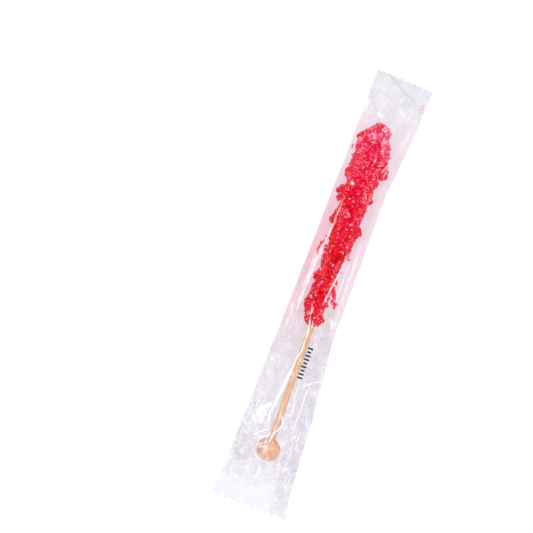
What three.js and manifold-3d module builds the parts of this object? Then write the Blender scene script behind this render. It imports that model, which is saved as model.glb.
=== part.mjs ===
// A rock-candy swizzle stick in its sealed clear wrapper, lying on its back.
//
// Millimetres. +Y runs to the candy end, +X to the right seen from above, +Z up from the surface
// it lies on. The origin is the bottom centre of the whole pack. Places along the pack are given
// as stations: the distance from the tooth tips of the candy-end seal, so y falls as they rise.

import * as THREE from 'three';
import { mergeVertices } from 'three/addons/utils/BufferGeometryUtils.js';
import Module from 'manifold-3d';

const wasm = await Module();
wasm.setup();

// ---- Driving dimensions --------------------------------------------------------------------

const GAP = 0.3; // clear space kept between neighbouring pieces
const PACK_LENGTH = 227; // tooth tips to tooth tips

// Wooden swizzle stick with a ball end
const BALL_DIAMETER = 11.7;
const BALL_STATION = 196.3;
const DOWEL_DIAMETER = 3.2;
const DOWEL_TOP_STATION = 30; // the dowel's end inside the candy
const BALL_BORE_DEPTH = 5; // how deep the dowel sits in the ball

// Sugar grown on the dowel
const CANDY_TIP_STATION = 25.4;
const CANDY_FOOT_STATION = 131.8;
const CORE_SHARE = 0.74; // core girth as a share of the outermost girth
const CRYSTALS = 130;
const CRYSTAL_SEED = 11;
const CRYSTAL_SIZE = { least: 4.4, most: 7.4, bias: 1.5 }; // a higher bias makes more small ones
const CRYSTAL_DEPTH = { least: 0.75, most: 1.25 }; // as a share of its size
const CRYSTAL_THICKNESS = { least: 0.55, most: 0.9 };
const CRYSTAL_TILT = THREE.MathUtils.degToRad(32); // most that a crystal leans off the surface
const CRYSTAL_REACH = 0.97; // how near a crystal's corners come to the outermost girth
const CRYSTAL_MARGIN = 2; // no crystal is centred nearer than this to either end of the sugar
const SETTLING_STEP = 0.1;
const SUGAR_SHEAR = Math.tan(THREE.MathUtils.degToRad(13)); // sugar grows as a leaning box

// Film flow wrap: a tube with a crimped, toothed seal at each end and a lapped fin on its back
const SEAL_BAND = 12.5;
const SEAL_THICKNESS = 0.8;
const SEAL_HEIGHT = 3; // middle of each seal above the surface
const TOOTH_PITCH = 3.4;
const TOOTH_DEPTH = 1.6;
const CANDY_END_TIPS = [[-14.5, 0], [15.1, 1.6]]; // outermost teeth, each a place across and a station
const BALL_END_TIPS = [[-18.7, PACK_LENGTH], [20.2, PACK_LENGTH]];
const TUBE_END = { lap: 1, across: 0.99, thickness: 0.6 }; // how the tube's end lies inside a seal
const FIN_WIDTH = 9.3;
const FIN_PLY = 0.35;
const FIN_OVERLAP = 2; // how far the fin runs into the tube's back and into each seal
const FIN_LIFT = 0.2; // its root above the tube's underside
const FIN_DROP = 1; // its free edge below its root
const FIN_BEND = { across: 0.4, drop: 0.3 }; // where it bends, as shares of its width and drop
const FIN_SEAM = { from: 36, to: 118, inside: 4, beyond: 1 }; // where the plies part from the tube
const FIN_HEIGHT = FIN_PLY + GAP / 2; // middle of the fin above the surface, where it lies flat
const WALL = 0.35; // film solid left under the ball
const PRESS = 0.5; // how far the tube's round underside is pressed flat by what it lies on

// How the stick lies in its wrapper
const BALL_OFFSET = 0.2; // to the right of the pack's axis
const STICK_SKEW = THREE.MathUtils.degToRad(1.23); // candy end to the left
const STICK_RISE = THREE.MathUtils.degToRad(0.1); // candy end up

// Outlines along the pack, each a station and a value

// Largest distance of the sugar from the dowel's axis, to either side
const GIRTH = [
  [CANDY_TIP_STATION, 2.6], [28.5, 6.2], [32.5, 9.2], [38, 9.9], [46, 10.2], [56, 9.9],
  [68, 9.8], [78, 8.9], [86, 7.8], [100, 7.1], [114, 7.7], [121, 7.5], [127, 6.1],
  [CANDY_FOOT_STATION, 3.1],
];
// Largest distance of the sugar from the dowel's axis, up or down
const DEPTH = [
  [CANDY_TIP_STATION, 2.2], [28.5, 4.4], [34, 5.7], [46, 6.1], [84, 6], [100, 5.7], [118, 5.8],
  [127, 5], [CANDY_FOOT_STATION, 2.8],
];
// Left and right edges of the film tube
const LEFT_EDGE = [[0, -14.5], [26, -14.4], [113, -15.5], [206, -17.6], [PACK_LENGTH, -18.7]];
const RIGHT_EDGE = [
  [0, 15.1], [26, 13.9], [45, 12.2], [60, 10.9], [118, 11.6], [142, 12], [175, 10.6],
  [PACK_LENGTH, 10.9],
];
// Top of the tube over the seal, candy, bare stick, ball and seal
const CROWN = [
  [SEAL_BAND, SEAL_HEIGHT + 1], [19, 7.4], [26, 11], [34, 13.4], [56, 13.6], [84, 13.5],
  [104, 13.3], [122, 13.1], [132, 10.8], [144, 9.2], [172, 9.2], [184, 10.4], [191, 13.1],
  [201, 13.1], [207, 9], [PACK_LENGTH - SEAL_BAND, SEAL_HEIGHT + 1],
];
// Height of the film's side edges
const EDGE_HEIGHT = [
  [SEAL_BAND, SEAL_HEIGHT], [34, 6], [84, 6], [120, 5], [150, 3.6], [180, 4], [196, 5.5],
  [PACK_LENGTH - SEAL_BAND, SEAL_HEIGHT],
];
// Underside of the tube along its middle
const BELLY = [
  [SEAL_BAND, SEAL_HEIGHT - 1], [24, 0.4], [30, 0], [204, 0], [208, 0.4],
  [PACK_LENGTH - SEAL_BAND, SEAL_HEIGHT - 1],
];
// How the tube thins towards each side: 0.5 is a round side, 1 a flat one
const LEFT_TAPER = [
  [SEAL_BAND, 0.8], [32, 0.5], [78, 0.5], [92, 0.7], [120, 0.7], [136, 1], [184, 1], [196, 0.8],
  [PACK_LENGTH - SEAL_BAND, 0.8],
];
const RIGHT_TAPER = [[SEAL_BAND, 0.8], [134, 0.8], [146, 1], [184, 1], [PACK_LENGTH - SEAL_BAND, 0.8]];
// Root of the fin across the tube's back
const FIN_ROOT = [[SEAL_BAND, -2], [110, -0.4], [150, 3.2], [198, 8], [PACK_LENGTH - SEAL_BAND, 9.6]];

// Large crystals that stand out of the rest: station, angle round the dowel from the right, size
const OUTCROPS = [
  [34, 170, 5], [45, 8, 5.4], [63, 182, 5], [74, 176, 5.6], [81, 4, 6], [92, 184, 4.6],
  [108, 176, 4.6], [117, -2, 5.4], [126.5, 10, 4.4],
];

// Fineness of the sections
const TUBE_STEPS = 10;
const TUBE_STEP = 6;
const FIN_STEP = 6;
const CORE_SECTIONS = { step: 9, sides: 8 };
const HOLLOW_SECTIONS = { step: 7, sides: 16 };
const DOWEL_SIDES = 20;
const BORE_SIDES = 15;
const FACET_TURN = 0.1; // turns the dowel's facets off the planes of its neighbours
const BALL_SIDES = 20;
const BALL_HOLLOW_SIDES = 16;
const POLE_RINGS = 2; // rings of a ball beyond half its sides

// ---- Helpers -------------------------------------------------------------------------------

const stationToY = (station) => PACK_LENGTH / 2 - station;
const blend = (a, b, t) => a + (b - a) * t;

// Reads an outline at a station, with an eased run from one stop to the next
function along(outline, station) {
  const last = outline.length - 1;
  if (station <= outline[0][0]) return outline[0][1];
  if (station >= outline[last][0]) return outline[last][1];
  const next = outline.findIndex(([at]) => at > station);
  const [fromAt, fromValue] = outline[next - 1];
  const [toAt, toValue] = outline[next];
  const t = (station - fromAt) / (toAt - fromAt);
  return blend(fromValue, toValue, blend(t, t * t * (3 - 2 * t), 0.5));
}

// A seeded source of numbers from 0 to 1
function seeded(seed) {
  let state = seed;
  return () => {
    state = (state + 0x6d2b79f5) | 0;
    let t = Math.imul(state ^ (state >>> 15), 1 | state);
    t = (t + Math.imul(t ^ (t >>> 7), 61 | t)) ^ t;
    return ((t ^ (t >>> 14)) >>> 0) / 4294967296;
  };
}

// A closed body through rings of equally many points, each ring turning about +Y the same way
function loft(rings) {
  const count = rings[0].length;
  const positions = rings.flat().flatMap((p) => [p.x, p.y, p.z]);
  const index = [];
  for (let r = 0; r + 1 < rings.length; r += 1) {
    for (let i = 0; i < count; i += 1) {
      const a = r * count + i;
      const b = r * count + ((i + 1) % count);
      index.push(a, b, b + count, a, b + count, a + count);
    }
  }
  for (const [ring, reverse] of [[0, true], [rings.length - 1, false]]) {
    const middle = rings[ring].reduce((sum, p) => sum.add(p), new THREE.Vector3()).divideScalar(count);
    const hub = positions.length / 3;
    positions.push(middle.x, middle.y, middle.z);
    for (let i = 0; i < count; i += 1) {
      const a = ring * count + i;
      const b = ring * count + ((i + 1) % count);
      index.push(...(reverse ? [hub, b, a] : [hub, a, b]));
    }
  }
  const geometry = new THREE.BufferGeometry();
  geometry.setAttribute('position', new THREE.Float32BufferAttribute(positions, 3));
  geometry.setIndex(index);
  return geometry;
}

// Stations from one place to another, at most a step apart
function stations(from, to, step) {
  const count = Math.ceil((to - from) / step);
  return Array.from({ length: count + 1 }, (_, i) => blend(from, to, i / count));
}

function toSolid(geometry) {
  const bare = geometry.clone();
  bare.deleteAttribute('normal');
  bare.deleteAttribute('uv');
  const merged = mergeVertices(bare, 1e-4);
  const solid = new wasm.Manifold(new wasm.Mesh({
    numProp: 3,
    vertProperties: new Float32Array(merged.attributes.position.array),
    triVerts: new Uint32Array(merged.index.array),
  }));
  if (solid.status() !== 'NoError' || solid.volume() <= 0) {
    throw new Error(`not a closed body facing out: ${solid.status()} ${solid.volume()}`);
  }
  return solid;
}

function toGeometry(solid) {
  const mesh = solid.getMesh();
  const geometry = new THREE.BufferGeometry();
  geometry.setAttribute('position', new THREE.Float32BufferAttribute(mesh.vertProperties, 3));
  geometry.setIndex([...mesh.triVerts]);
  geometry.computeVertexNormals();
  return geometry;
}

const union = (solids) => solids.reduce((whole, solid) => whole.add(solid));

function piece(name, solid, material) {
  const mesh = new THREE.Mesh(toGeometry(solid), material);
  mesh.name = name;
  return mesh;
}

// ---- The stick, candy and ball, in the stick's own frame: origin at the ball's centre ---------

const lengthwise = (station) => BALL_STATION - station;

function dowel(radius, fromY, toY, sides) {
  const geometry = new THREE.CylinderGeometry(radius, radius, toY - fromY, sides);
  geometry.rotateY(FACET_TURN);
  geometry.translate(0, (fromY + toY) / 2, 0);
  return toSolid(geometry);
}

const dowelFoot = BALL_DIAMETER / 2 - BALL_BORE_DEPTH;
const dowelTop = lengthwise(DOWEL_TOP_STATION);

const makeDowel = () => dowel(DOWEL_DIAMETER / 2, dowelFoot, dowelTop, DOWEL_SIDES);
const makeBore = () => dowel(DOWEL_DIAMETER / 2 + GAP, dowelFoot - GAP, dowelTop + GAP, BORE_SIDES);

function makeBall(extra, sides) {
  const geometry = new THREE.SphereGeometry(BALL_DIAMETER / 2 + extra, sides, sides / 2 + POLE_RINGS);
  return toSolid(geometry);
}

// Oval sections round the dowel that follow the growth's girth, with their flats on it
function growth(share, extra, { step, sides }) {
  const toCorner = 1 / Math.cos(Math.PI / sides);
  const rings = stations(CANDY_TIP_STATION - extra, CANDY_FOOT_STATION + extra, step).map((station) => {
    const width = (along(GIRTH, station) * share + extra) * toCorner;
    const thickness = (along(DEPTH, station) * share + extra) * toCorner;
    return Array.from({ length: sides }, (_, i) => {
      const turn = (i / sides) * 2 * Math.PI;
      return new THREE.Vector3(Math.cos(turn) * width, lengthwise(station), Math.sin(turn) * thickness);
    });
  });
  return toSolid(loft(rings));
}

// One sugar crystal: a leaning box, turned at random, drawn in until it is inside the growth's girth
function crystal(random, station, turn, size) {
  const box = new THREE.BoxGeometry(
    size,
    size * blend(CRYSTAL_DEPTH.least, CRYSTAL_DEPTH.most, random()),
    size * blend(CRYSTAL_THICKNESS.least, CRYSTAL_THICKNESS.most, random()),
  );
  const lean = new THREE.Matrix4().set(1, SUGAR_SHEAR, 0, 0, 0, 1, 0, 0, 0, 0, 1, 0, 0, 0, 0, 1);
  const tilt = () => (2 * random() - 1) * CRYSTAL_TILT;
  const standing = new THREE.Euler(tilt(), tilt(), random() * Math.PI, 'XYZ');
  const outward = new THREE.Vector3(Math.cos(turn), 0, Math.sin(turn));
  const facing = new THREE.Quaternion().setFromUnitVectors(new THREE.Vector3(0, 0, 1), outward);
  box.applyMatrix4(lean);
  box.applyMatrix4(new THREE.Matrix4().makeRotationFromEuler(standing));
  box.applyQuaternion(facing);
  const corners = box.attributes.position;
  const corner = new THREE.Vector3();
  const reach = (distance) => {
    let most = 0;
    for (let i = 0; i < corners.count; i += 1) {
      corner.fromBufferAttribute(corners, i).addScaledVector(outward, distance);
      const at = station - corner.y;
      const outside = at < CANDY_TIP_STATION || at > CANDY_FOOT_STATION;
      const share = Math.hypot(corner.x / along(GIRTH, at), corner.z / along(DEPTH, at));
      most = Math.max(most, outside ? Infinity : share);
    }
    return most;
  };
  let distance = along(GIRTH, station);
  while (reach(distance) > CRYSTAL_REACH && distance > 0) {
    distance -= SETTLING_STEP;
  }
  if (distance <= 0) return null;
  box.translate(outward.x * distance, lengthwise(station), outward.z * distance);
  return toSolid(box);
}

function makeCandy() {
  const random = seeded(CRYSTAL_SEED);
  const goldenTurn = Math.PI * (3 - Math.sqrt(5));
  const first = CANDY_TIP_STATION + CRYSTAL_MARGIN;
  const last = CANDY_FOOT_STATION - CRYSTAL_MARGIN;
  const blocks = [];
  for (let i = 0; i < CRYSTALS; i += 1) {
    const place = (i + random()) / CRYSTALS;
    const station = blend(first, last, place);
    const size = blend(CRYSTAL_SIZE.least, CRYSTAL_SIZE.most, random() ** CRYSTAL_SIZE.bias);
    blocks.push(crystal(random, station, i * goldenTurn + random(), size));
  }
  for (const [station, degrees, size] of OUTCROPS) {
    blocks.push(crystal(random, station, THREE.MathUtils.degToRad(degrees), size));
  }
  const grown = union([growth(CORE_SHARE, 0, CORE_SECTIONS), ...blocks.filter((block) => block)]);
  return grown.subtract(makeBore());
}

// ---- The wrapper, in the pack's own frame ----------------------------------------------------

// The tube's top and underside at a place across it. Its ridge runs over the stick.
function tubeAt(station, x) {
  const ridge = BALL_OFFSET - lengthwise(station) * Math.tan(STICK_SKEW);
  const onLeft = x < ridge;
  const reach = (onLeft ? along(LEFT_EDGE, station) : along(RIGHT_EDGE, station)) - ridge;
  const taper = along(onLeft ? LEFT_TAPER : RIGHT_TAPER, station);
  const fullness = Math.max(0, 1 - ((x - ridge) / reach) ** 2) ** taper;
  const edge = along(EDGE_HEIGHT, station);
  const belly = along(BELLY, station);
  return {
    top: edge + (along(CROWN, station) - edge) * fullness,
    underside: Math.max(belly, edge - (edge - belly + PRESS) * fullness),
  };
}

// One section of the film tube, from its right edge over the top to the left and back beneath
function tubeSection(station) {
  const left = along(LEFT_EDGE, station);
  const right = along(RIGHT_EDGE, station);
  const y = stationToY(station);
  const places = Array.from({ length: TUBE_STEPS + 1 }, (_, i) => (
    (left + right) / 2 + ((right - left) / 2) * Math.cos((i / TUBE_STEPS) * Math.PI)
  ));
  const above = places.map((x) => new THREE.Vector3(x, y, tubeAt(station, x).top));
  const inner = places.slice(1, -1).reverse();
  const below = inner.map((x) => new THREE.Vector3(x, y, tubeAt(station, x).underside));
  return [...above, ...below];
}

// The tube's ends are thinner than the seals, and lie inside them
function makeTube() {
  const inSeal = (station, lap) => tubeSection(station).map((point) => (
    new THREE.Vector3(
      point.x * TUBE_END.across,
      stationToY(station + lap),
      SEAL_HEIGHT + Math.sign(point.z - SEAL_HEIGHT) * (TUBE_END.thickness * SEAL_THICKNESS) / 2,
    )
  ));
  const farSeal = PACK_LENGTH - SEAL_BAND;
  const sections = stations(SEAL_BAND, farSeal, TUBE_STEP).map(tubeSection);
  return toSolid(loft([inSeal(SEAL_BAND, -TUBE_END.lap), ...sections, inSeal(farSeal, TUBE_END.lap)]));
}

// A flat end seal: side edges from the tube to the tips, and a row of teeth between the tips
function makeSeal(innerStation, innerLeft, innerRight, outermostTips) {
  const corner = ([x, station]) => new THREE.Vector2(x, stationToY(station));
  const tips = outermostTips.map(corner);
  const inward = Math.sign(corner([0, innerStation]).y - tips[0].y);
  const teeth = Math.round(tips[0].distanceTo(tips[1]) / TOOTH_PITCH);
  const edge = [];
  for (let i = 0; i <= teeth; i += 1) {
    edge.push(tips[0].clone().lerp(tips[1], i / teeth));
    if (i < teeth) {
      const notch = tips[0].clone().lerp(tips[1], (i + 0.5) / teeth);
      edge.push(notch.add(new THREE.Vector2(0, inward * TOOTH_DEPTH)));
    }
  }
  const outline = [corner([innerLeft, innerStation]), ...edge, corner([innerRight, innerStation])];
  const geometry = new THREE.ExtrudeGeometry(new THREE.Shape(outline), {
    depth: SEAL_THICKNESS,
    bevelEnabled: false,
  });
  geometry.translate(0, 0, SEAL_HEIGHT - SEAL_THICKNESS / 2);
  return toSolid(geometry);
}

// A strip along the fin: from inside the tube's back out to the fin's edge, where it hangs lower
function finStrip(fromStation, toStation, thickness, inside, beyond) {
  const rings = stations(fromStation, toStation, FIN_STEP).map((station) => {
    const root = along(FIN_ROOT, station);
    const rootHeight = Math.max(FIN_HEIGHT, tubeAt(station, root).underside + FIN_LIFT);
    const tipHeight = Math.max(FIN_HEIGHT, Math.min(rootHeight, SEAL_HEIGHT) - FIN_DROP);
    const y = stationToY(station);
    const line = [
      [root - inside, rootHeight],
      [root + FIN_WIDTH * FIN_BEND.across, blend(rootHeight, tipHeight, FIN_BEND.drop)],
      [root + FIN_WIDTH + beyond, tipHeight],
    ];
    const upper = line.map(([x, z]) => new THREE.Vector3(x, y, z + thickness / 2)).reverse();
    const lower = line.map(([x, z]) => new THREE.Vector3(x, y, z - thickness / 2));
    return [...upper, ...lower];
  });
  return toSolid(loft(rings));
}

function makeWrapper(contents) {
  const farSeal = PACK_LENGTH - SEAL_BAND;
  const finEdge = along(FIN_ROOT, farSeal) + FIN_WIDTH;
  const body = union([
    makeTube(),
    makeSeal(SEAL_BAND, along(LEFT_EDGE, SEAL_BAND), along(RIGHT_EDGE, SEAL_BAND), CANDY_END_TIPS),
    makeSeal(farSeal, along(LEFT_EDGE, farSeal), finEdge, BALL_END_TIPS),
    finStrip(SEAL_BAND - FIN_OVERLAP, farSeal + FIN_OVERLAP, 2 * FIN_PLY + GAP, FIN_OVERLAP, 0),
  ]);
  const candyHollow = growth(CRYSTAL_REACH, GAP, HOLLOW_SECTIONS);
  const hollow = union([candyHollow, makeBall(GAP, BALL_HOLLOW_SIDES), makeBore()]);
  const laid = hollow.transform(contents.matrix.elements);
  const seam = finStrip(FIN_SEAM.from, FIN_SEAM.to, GAP, FIN_SEAM.inside, FIN_SEAM.beyond);
  return body.subtract(laid).subtract(seam);
}

// ---- Assembly ------------------------------------------------------------------------------

const wood = new THREE.MeshStandardMaterial({ color: 0xe9b183, roughness: 0.6, metalness: 0 });
const ballWood = new THREE.MeshStandardMaterial({ color: 0xe8b58a, roughness: 0.6, metalness: 0 });
const sugar = new THREE.MeshStandardMaterial({ color: 0xdf1a33, roughness: 0.15, metalness: 0 });
const film = new THREE.MeshStandardMaterial({
  color: 0xf0e6f0, roughness: 0.15, metalness: 0, transparent: true, opacity: 0.25,
});

const contents = new THREE.Group();
contents.position.set(BALL_OFFSET, stationToY(BALL_STATION), BALL_DIAMETER / 2 + GAP + WALL);
contents.rotation.set(STICK_RISE, 0, STICK_SKEW);
contents.updateMatrix();
contents.add(piece('candy', makeCandy(), sugar));
contents.add(piece('stick', makeDowel(), wood));
contents.add(piece('ball', makeBall(0, BALL_SIDES).subtract(makeBore()), ballWood));

const pack = new THREE.Group();
pack.add(piece('wrapper', makeWrapper(contents), film));
pack.add(contents);

const swizzleStick = new THREE.Group();
swizzleStick.add(pack);
swizzleStick.updateMatrixWorld(true);
const box = new THREE.Box3().setFromObject(swizzleStick, true);
const middle = box.getCenter(new THREE.Vector3());
pack.position.set(-middle.x, -middle.y, -box.min.z);

export default swizzleStick;
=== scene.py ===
"""A rock-candy swizzle stick sealed in its clear flow wrap, dressed round its construction model.

Shapes are worked out in millimetres and put into the frame, which is in metres, when a piece is
finished. +Y runs to the candy end, +X to the right seen from above, +Z up from what it lies on.
Places along the pack are stations: millimetres from the tooth tips of the candy-end seal.
"""

from __future__ import annotations

import logging
import math
import random
from dataclasses import dataclass
from enum import Enum

import bmesh
import bpy
import numpy as np
from mathutils import Euler, Matrix, Vector, noise
from mathutils.bvhtree import BVHTree


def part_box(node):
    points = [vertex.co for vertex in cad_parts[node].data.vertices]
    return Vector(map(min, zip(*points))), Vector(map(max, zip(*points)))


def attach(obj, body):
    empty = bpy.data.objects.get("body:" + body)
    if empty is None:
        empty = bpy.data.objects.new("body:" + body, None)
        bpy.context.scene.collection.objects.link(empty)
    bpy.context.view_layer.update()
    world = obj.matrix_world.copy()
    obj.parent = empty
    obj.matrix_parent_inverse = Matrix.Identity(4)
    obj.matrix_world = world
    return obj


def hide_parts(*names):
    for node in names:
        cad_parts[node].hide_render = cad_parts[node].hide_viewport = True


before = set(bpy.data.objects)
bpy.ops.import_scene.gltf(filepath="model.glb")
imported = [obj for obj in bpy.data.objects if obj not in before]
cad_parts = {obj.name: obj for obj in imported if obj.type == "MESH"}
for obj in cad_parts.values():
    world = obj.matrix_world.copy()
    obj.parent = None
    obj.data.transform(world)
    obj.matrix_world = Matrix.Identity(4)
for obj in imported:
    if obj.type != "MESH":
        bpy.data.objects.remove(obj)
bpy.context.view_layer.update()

MM = 0.001
BODY = "root"
GOLDEN_TURN = math.pi * (3 - math.sqrt(5))
ABOVE_ALL = 40.0

log = logging.getLogger("swizzle stick")


# ---- Outlines and places ---------------------------------------------------------------------


@dataclass(frozen=True)
class Outline:
    """A measure that changes along the pack, held as stops of a station and a value."""

    stops: tuple[tuple[float, float], ...]

    def at(self, station: np.ndarray | float) -> np.ndarray:
        """The values at a station or an array of them, half eased from one stop to the next."""
        places, values = np.array(self.stops).T
        station = np.clip(station, places[0], places[-1])
        after = np.clip(np.searchsorted(places, station, side="right"), 1, len(places) - 1)
        t = (station - places[after - 1]) / (places[after] - places[after - 1])
        eased = 0.5 * t + 0.5 * t * t * (3 - 2 * t)
        return values[after - 1] + (values[after] - values[after - 1]) * eased

    def straight(self, station: float) -> float:
        """The value at a station, on a straight line from one stop to the next."""
        return float(np.interp(station, *np.array(self.stops).T))


@dataclass(frozen=True)
class Lay:
    """How the stick lies in its wrapper, in millimetres and degrees."""

    length: float = 227.0
    right_tip: float = 20.2
    ball_station: float = 196.3
    ball_radius: float = 5.85
    skew: float = 1.23
    rise: float = 0.1

    def pack_matrix(self) -> Matrix:
        """The matrix from places across, towards the candy and up from the middle of the pack."""
        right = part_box("wrapper")[1].x
        return Matrix.Translation((right - self.right_tip * MM, 0, 0)) @ Matrix.Scale(MM, 4)

    def stick_matrix(self) -> Matrix:
        """The matrix from the stick's own frame, whose origin is the middle of the ball."""
        low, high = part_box("ball")
        middle = (low + high) / 2
        middle.y = low.y + self.ball_radius * MM
        turn = Euler((math.radians(self.rise), 0, math.radians(self.skew))).to_matrix().to_4x4()
        return Matrix.Translation(middle) @ turn @ Matrix.Scale(MM, 4)

    def lengthwise(self, station: np.ndarray | float) -> np.ndarray | float:
        """The place along the stick, from the ball's middle, of a station."""
        return self.ball_station - station

    def y(self, station: np.ndarray | float) -> np.ndarray | float:
        """The place along the pack, from its middle, of a station."""
        return self.length / 2 - station


# ---- Shader recipes --------------------------------------------------------------------------


class Value:
    """A socket of a shader tree that takes part in arithmetic."""

    def __init__(self, recipe: Recipe, socket: bpy.types.NodeSocket) -> None:
        """Wraps a socket of a recipe's tree."""
        self.recipe = recipe
        self.socket = socket

    def _math(self, operation: str, *terms: Value | float, clamp: bool = False) -> Value:
        """Adds one Math node over these terms."""
        inputs = dict(enumerate(terms))
        settings = {"operation": operation, "use_clamp": clamp}
        return self.recipe.value("ShaderNodeMath", settings, inputs)

    def __add__(self, other: Value | float) -> Value:
        """The sum."""
        return self._math("ADD", self, other)

    __radd__ = __add__

    def __sub__(self, other: Value | float) -> Value:
        """The difference."""
        return self._math("SUBTRACT", self, other)

    def __rsub__(self, other: float) -> Value:
        """The difference, taken from a number."""
        return self._math("SUBTRACT", other, self)

    def __mul__(self, other: Value | float) -> Value:
        """The product."""
        return self._math("MULTIPLY", self, other)

    __rmul__ = __mul__

    def __pow__(self, power: float) -> Value:
        """The power."""
        return self._math("POWER", self, power)

    def __abs__(self) -> Value:
        """The size without its sign."""
        return self._math("ABSOLUTE", self)

    def sine(self) -> Value:
        """The sine."""
        return self._math("SINE", self)

    def clipped(self) -> Value:
        """The value kept between 0 and 1."""
        return self._math("ADD", self, 0.0, clamp=True)

    def between(self, low: float, high: float) -> Value:
        """A smooth step from 0 at low to 1 at high."""
        settings = {"interpolation_type": "SMOOTHSTEP"}
        inputs = {"Value": self, "From Min": low, "From Max": high}
        return self.recipe.value("ShaderNodeMapRange", settings, inputs)


class Recipe:
    """One material's node tree."""

    def __init__(self, name: str) -> None:
        """Starts an empty material of this name."""
        self.material = bpy.data.materials.new(name)
        self.material.use_nodes = True
        self.tree = self.material.node_tree
        self.tree.nodes.clear()

    def node(
        self, kind: str, settings: dict | None = None, inputs: dict | None = None
    ) -> bpy.types.Node:
        """Adds a node.

        Args:
            kind: The node's type.
            settings: Its properties, set first; "stops" fills a colour ramp.
            inputs: Values or links, by socket name or number.

        Returns:
            The node.
        """
        made = self.tree.nodes.new(kind)
        for name, setting in (settings or {}).items():
            if name == "stops":
                self._fill_ramp(made.color_ramp, setting)
            else:
                setattr(made, name, setting)
        for name, given in (inputs or {}).items():
            if isinstance(given, Value):
                self.tree.links.new(given.socket, made.inputs[name])
            else:
                made.inputs[name].default_value = given
        return made

    @staticmethod
    def _fill_ramp(ramp: bpy.types.ColorRamp, stops: list[tuple[float, tuple]]) -> None:
        """Sets a ramp's stops, each a place and a colour."""
        while len(ramp.elements) < len(stops):
            ramp.elements.new(1.0)
        for element, (place, colour) in zip(ramp.elements, stops):
            element.position = place
            element.color = (*colour, 1.0)

    def value(
        self, kind: str, settings: dict | None = None, inputs: dict | None = None, output: str | int = 0
    ) -> Value:
        """Adds a node and wraps one of its outputs."""
        return Value(self, self.node(kind, settings, inputs).outputs[output])

    def place(
        self, offset: tuple = (0, 0, 0), turn: tuple = (0, 0, 0), scale: tuple = (1, 1, 1)
    ) -> Value:
        """Object coordinates, centred, turned and scaled for a pattern."""
        where = self.value("ShaderNodeTexCoord", output="Object")
        inputs = {"Vector": where, "Location": offset, "Rotation": turn, "Scale": scale}
        return self.value("ShaderNodeMapping", {"vector_type": "POINT"}, inputs)

    def attribute(self, name: str) -> Value:
        """A number stored on the piece's points."""
        return self.value("ShaderNodeAttribute", {"attribute_name": name}, output="Fac")

    def grain(self, where: Value, scale: float, detail: float = 3.0, roughness: float = 0.5) -> Value:
        """Fine noise from 0 to 1."""
        inputs = {"Vector": where, "Scale": scale, "Detail": detail, "Roughness": roughness}
        return self.value("ShaderNodeTexNoise", {}, inputs)

    def ridges(self, where: Value, scale: float) -> Value:
        """Thin winding lines, 1 along each line and 0 between them."""
        return (1.0 - abs(2.0 * self.grain(where, scale, 2.0) - 1.0)) ** 24.0

    def bands(self, where: Value, scale: float, count: float) -> Value:
        """Bands that wind round each other like growth lines, from 0 to 1."""
        return 0.5 + 0.5 * (self.grain(where, scale, 1.5) * count).sine()

    def flaws(self, where: Value, scale: float) -> Value:
        """A net of thin lines between cells, like flaws inside a crystal."""
        inputs = {"Vector": where, "Scale": scale}
        gap = self.value("ShaderNodeTexVoronoi", {"feature": "DISTANCE_TO_EDGE"}, inputs)
        return 1.0 - gap.between(0.0, 0.16)

    def mixed(self, first: Value, second: Value, share: Value | float) -> Value:
        """One surface with a share of another laid over it."""
        return self.value("ShaderNodeMixShader", {}, {0: share, 1: first, 2: second})

    def tint(self, first: Value | tuple, second: Value | tuple, share: Value | float) -> Value:
        """A colour between two others."""
        colours = [(*c, 1.0) if isinstance(c, tuple) and len(c) == 3 else c for c in (first, second)]
        inputs = {0: share, 6: colours[0], 7: colours[1]}
        return self.value("ShaderNodeMix", {"data_type": "RGBA"}, inputs, 2)

    def bump(self, height: Value, strength: float, distance: float) -> Value:
        """A normal raised by a height."""
        inputs = {"Height": height, "Strength": strength, "Distance": distance}
        return self.value("ShaderNodeBump", {}, inputs)

    def surface(self, inputs: dict) -> Value:
        """A Principled surface with these inputs."""
        return self.value("ShaderNodeBsdfPrincipled", {}, inputs)

    def finish(self, surface: Value) -> bpy.types.Material:
        """Joins a surface to the output and gives the material."""
        self.node("ShaderNodeOutputMaterial", {}, {"Surface": surface})
        return self.material


# ---- Finishes --------------------------------------------------------------------------------


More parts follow.
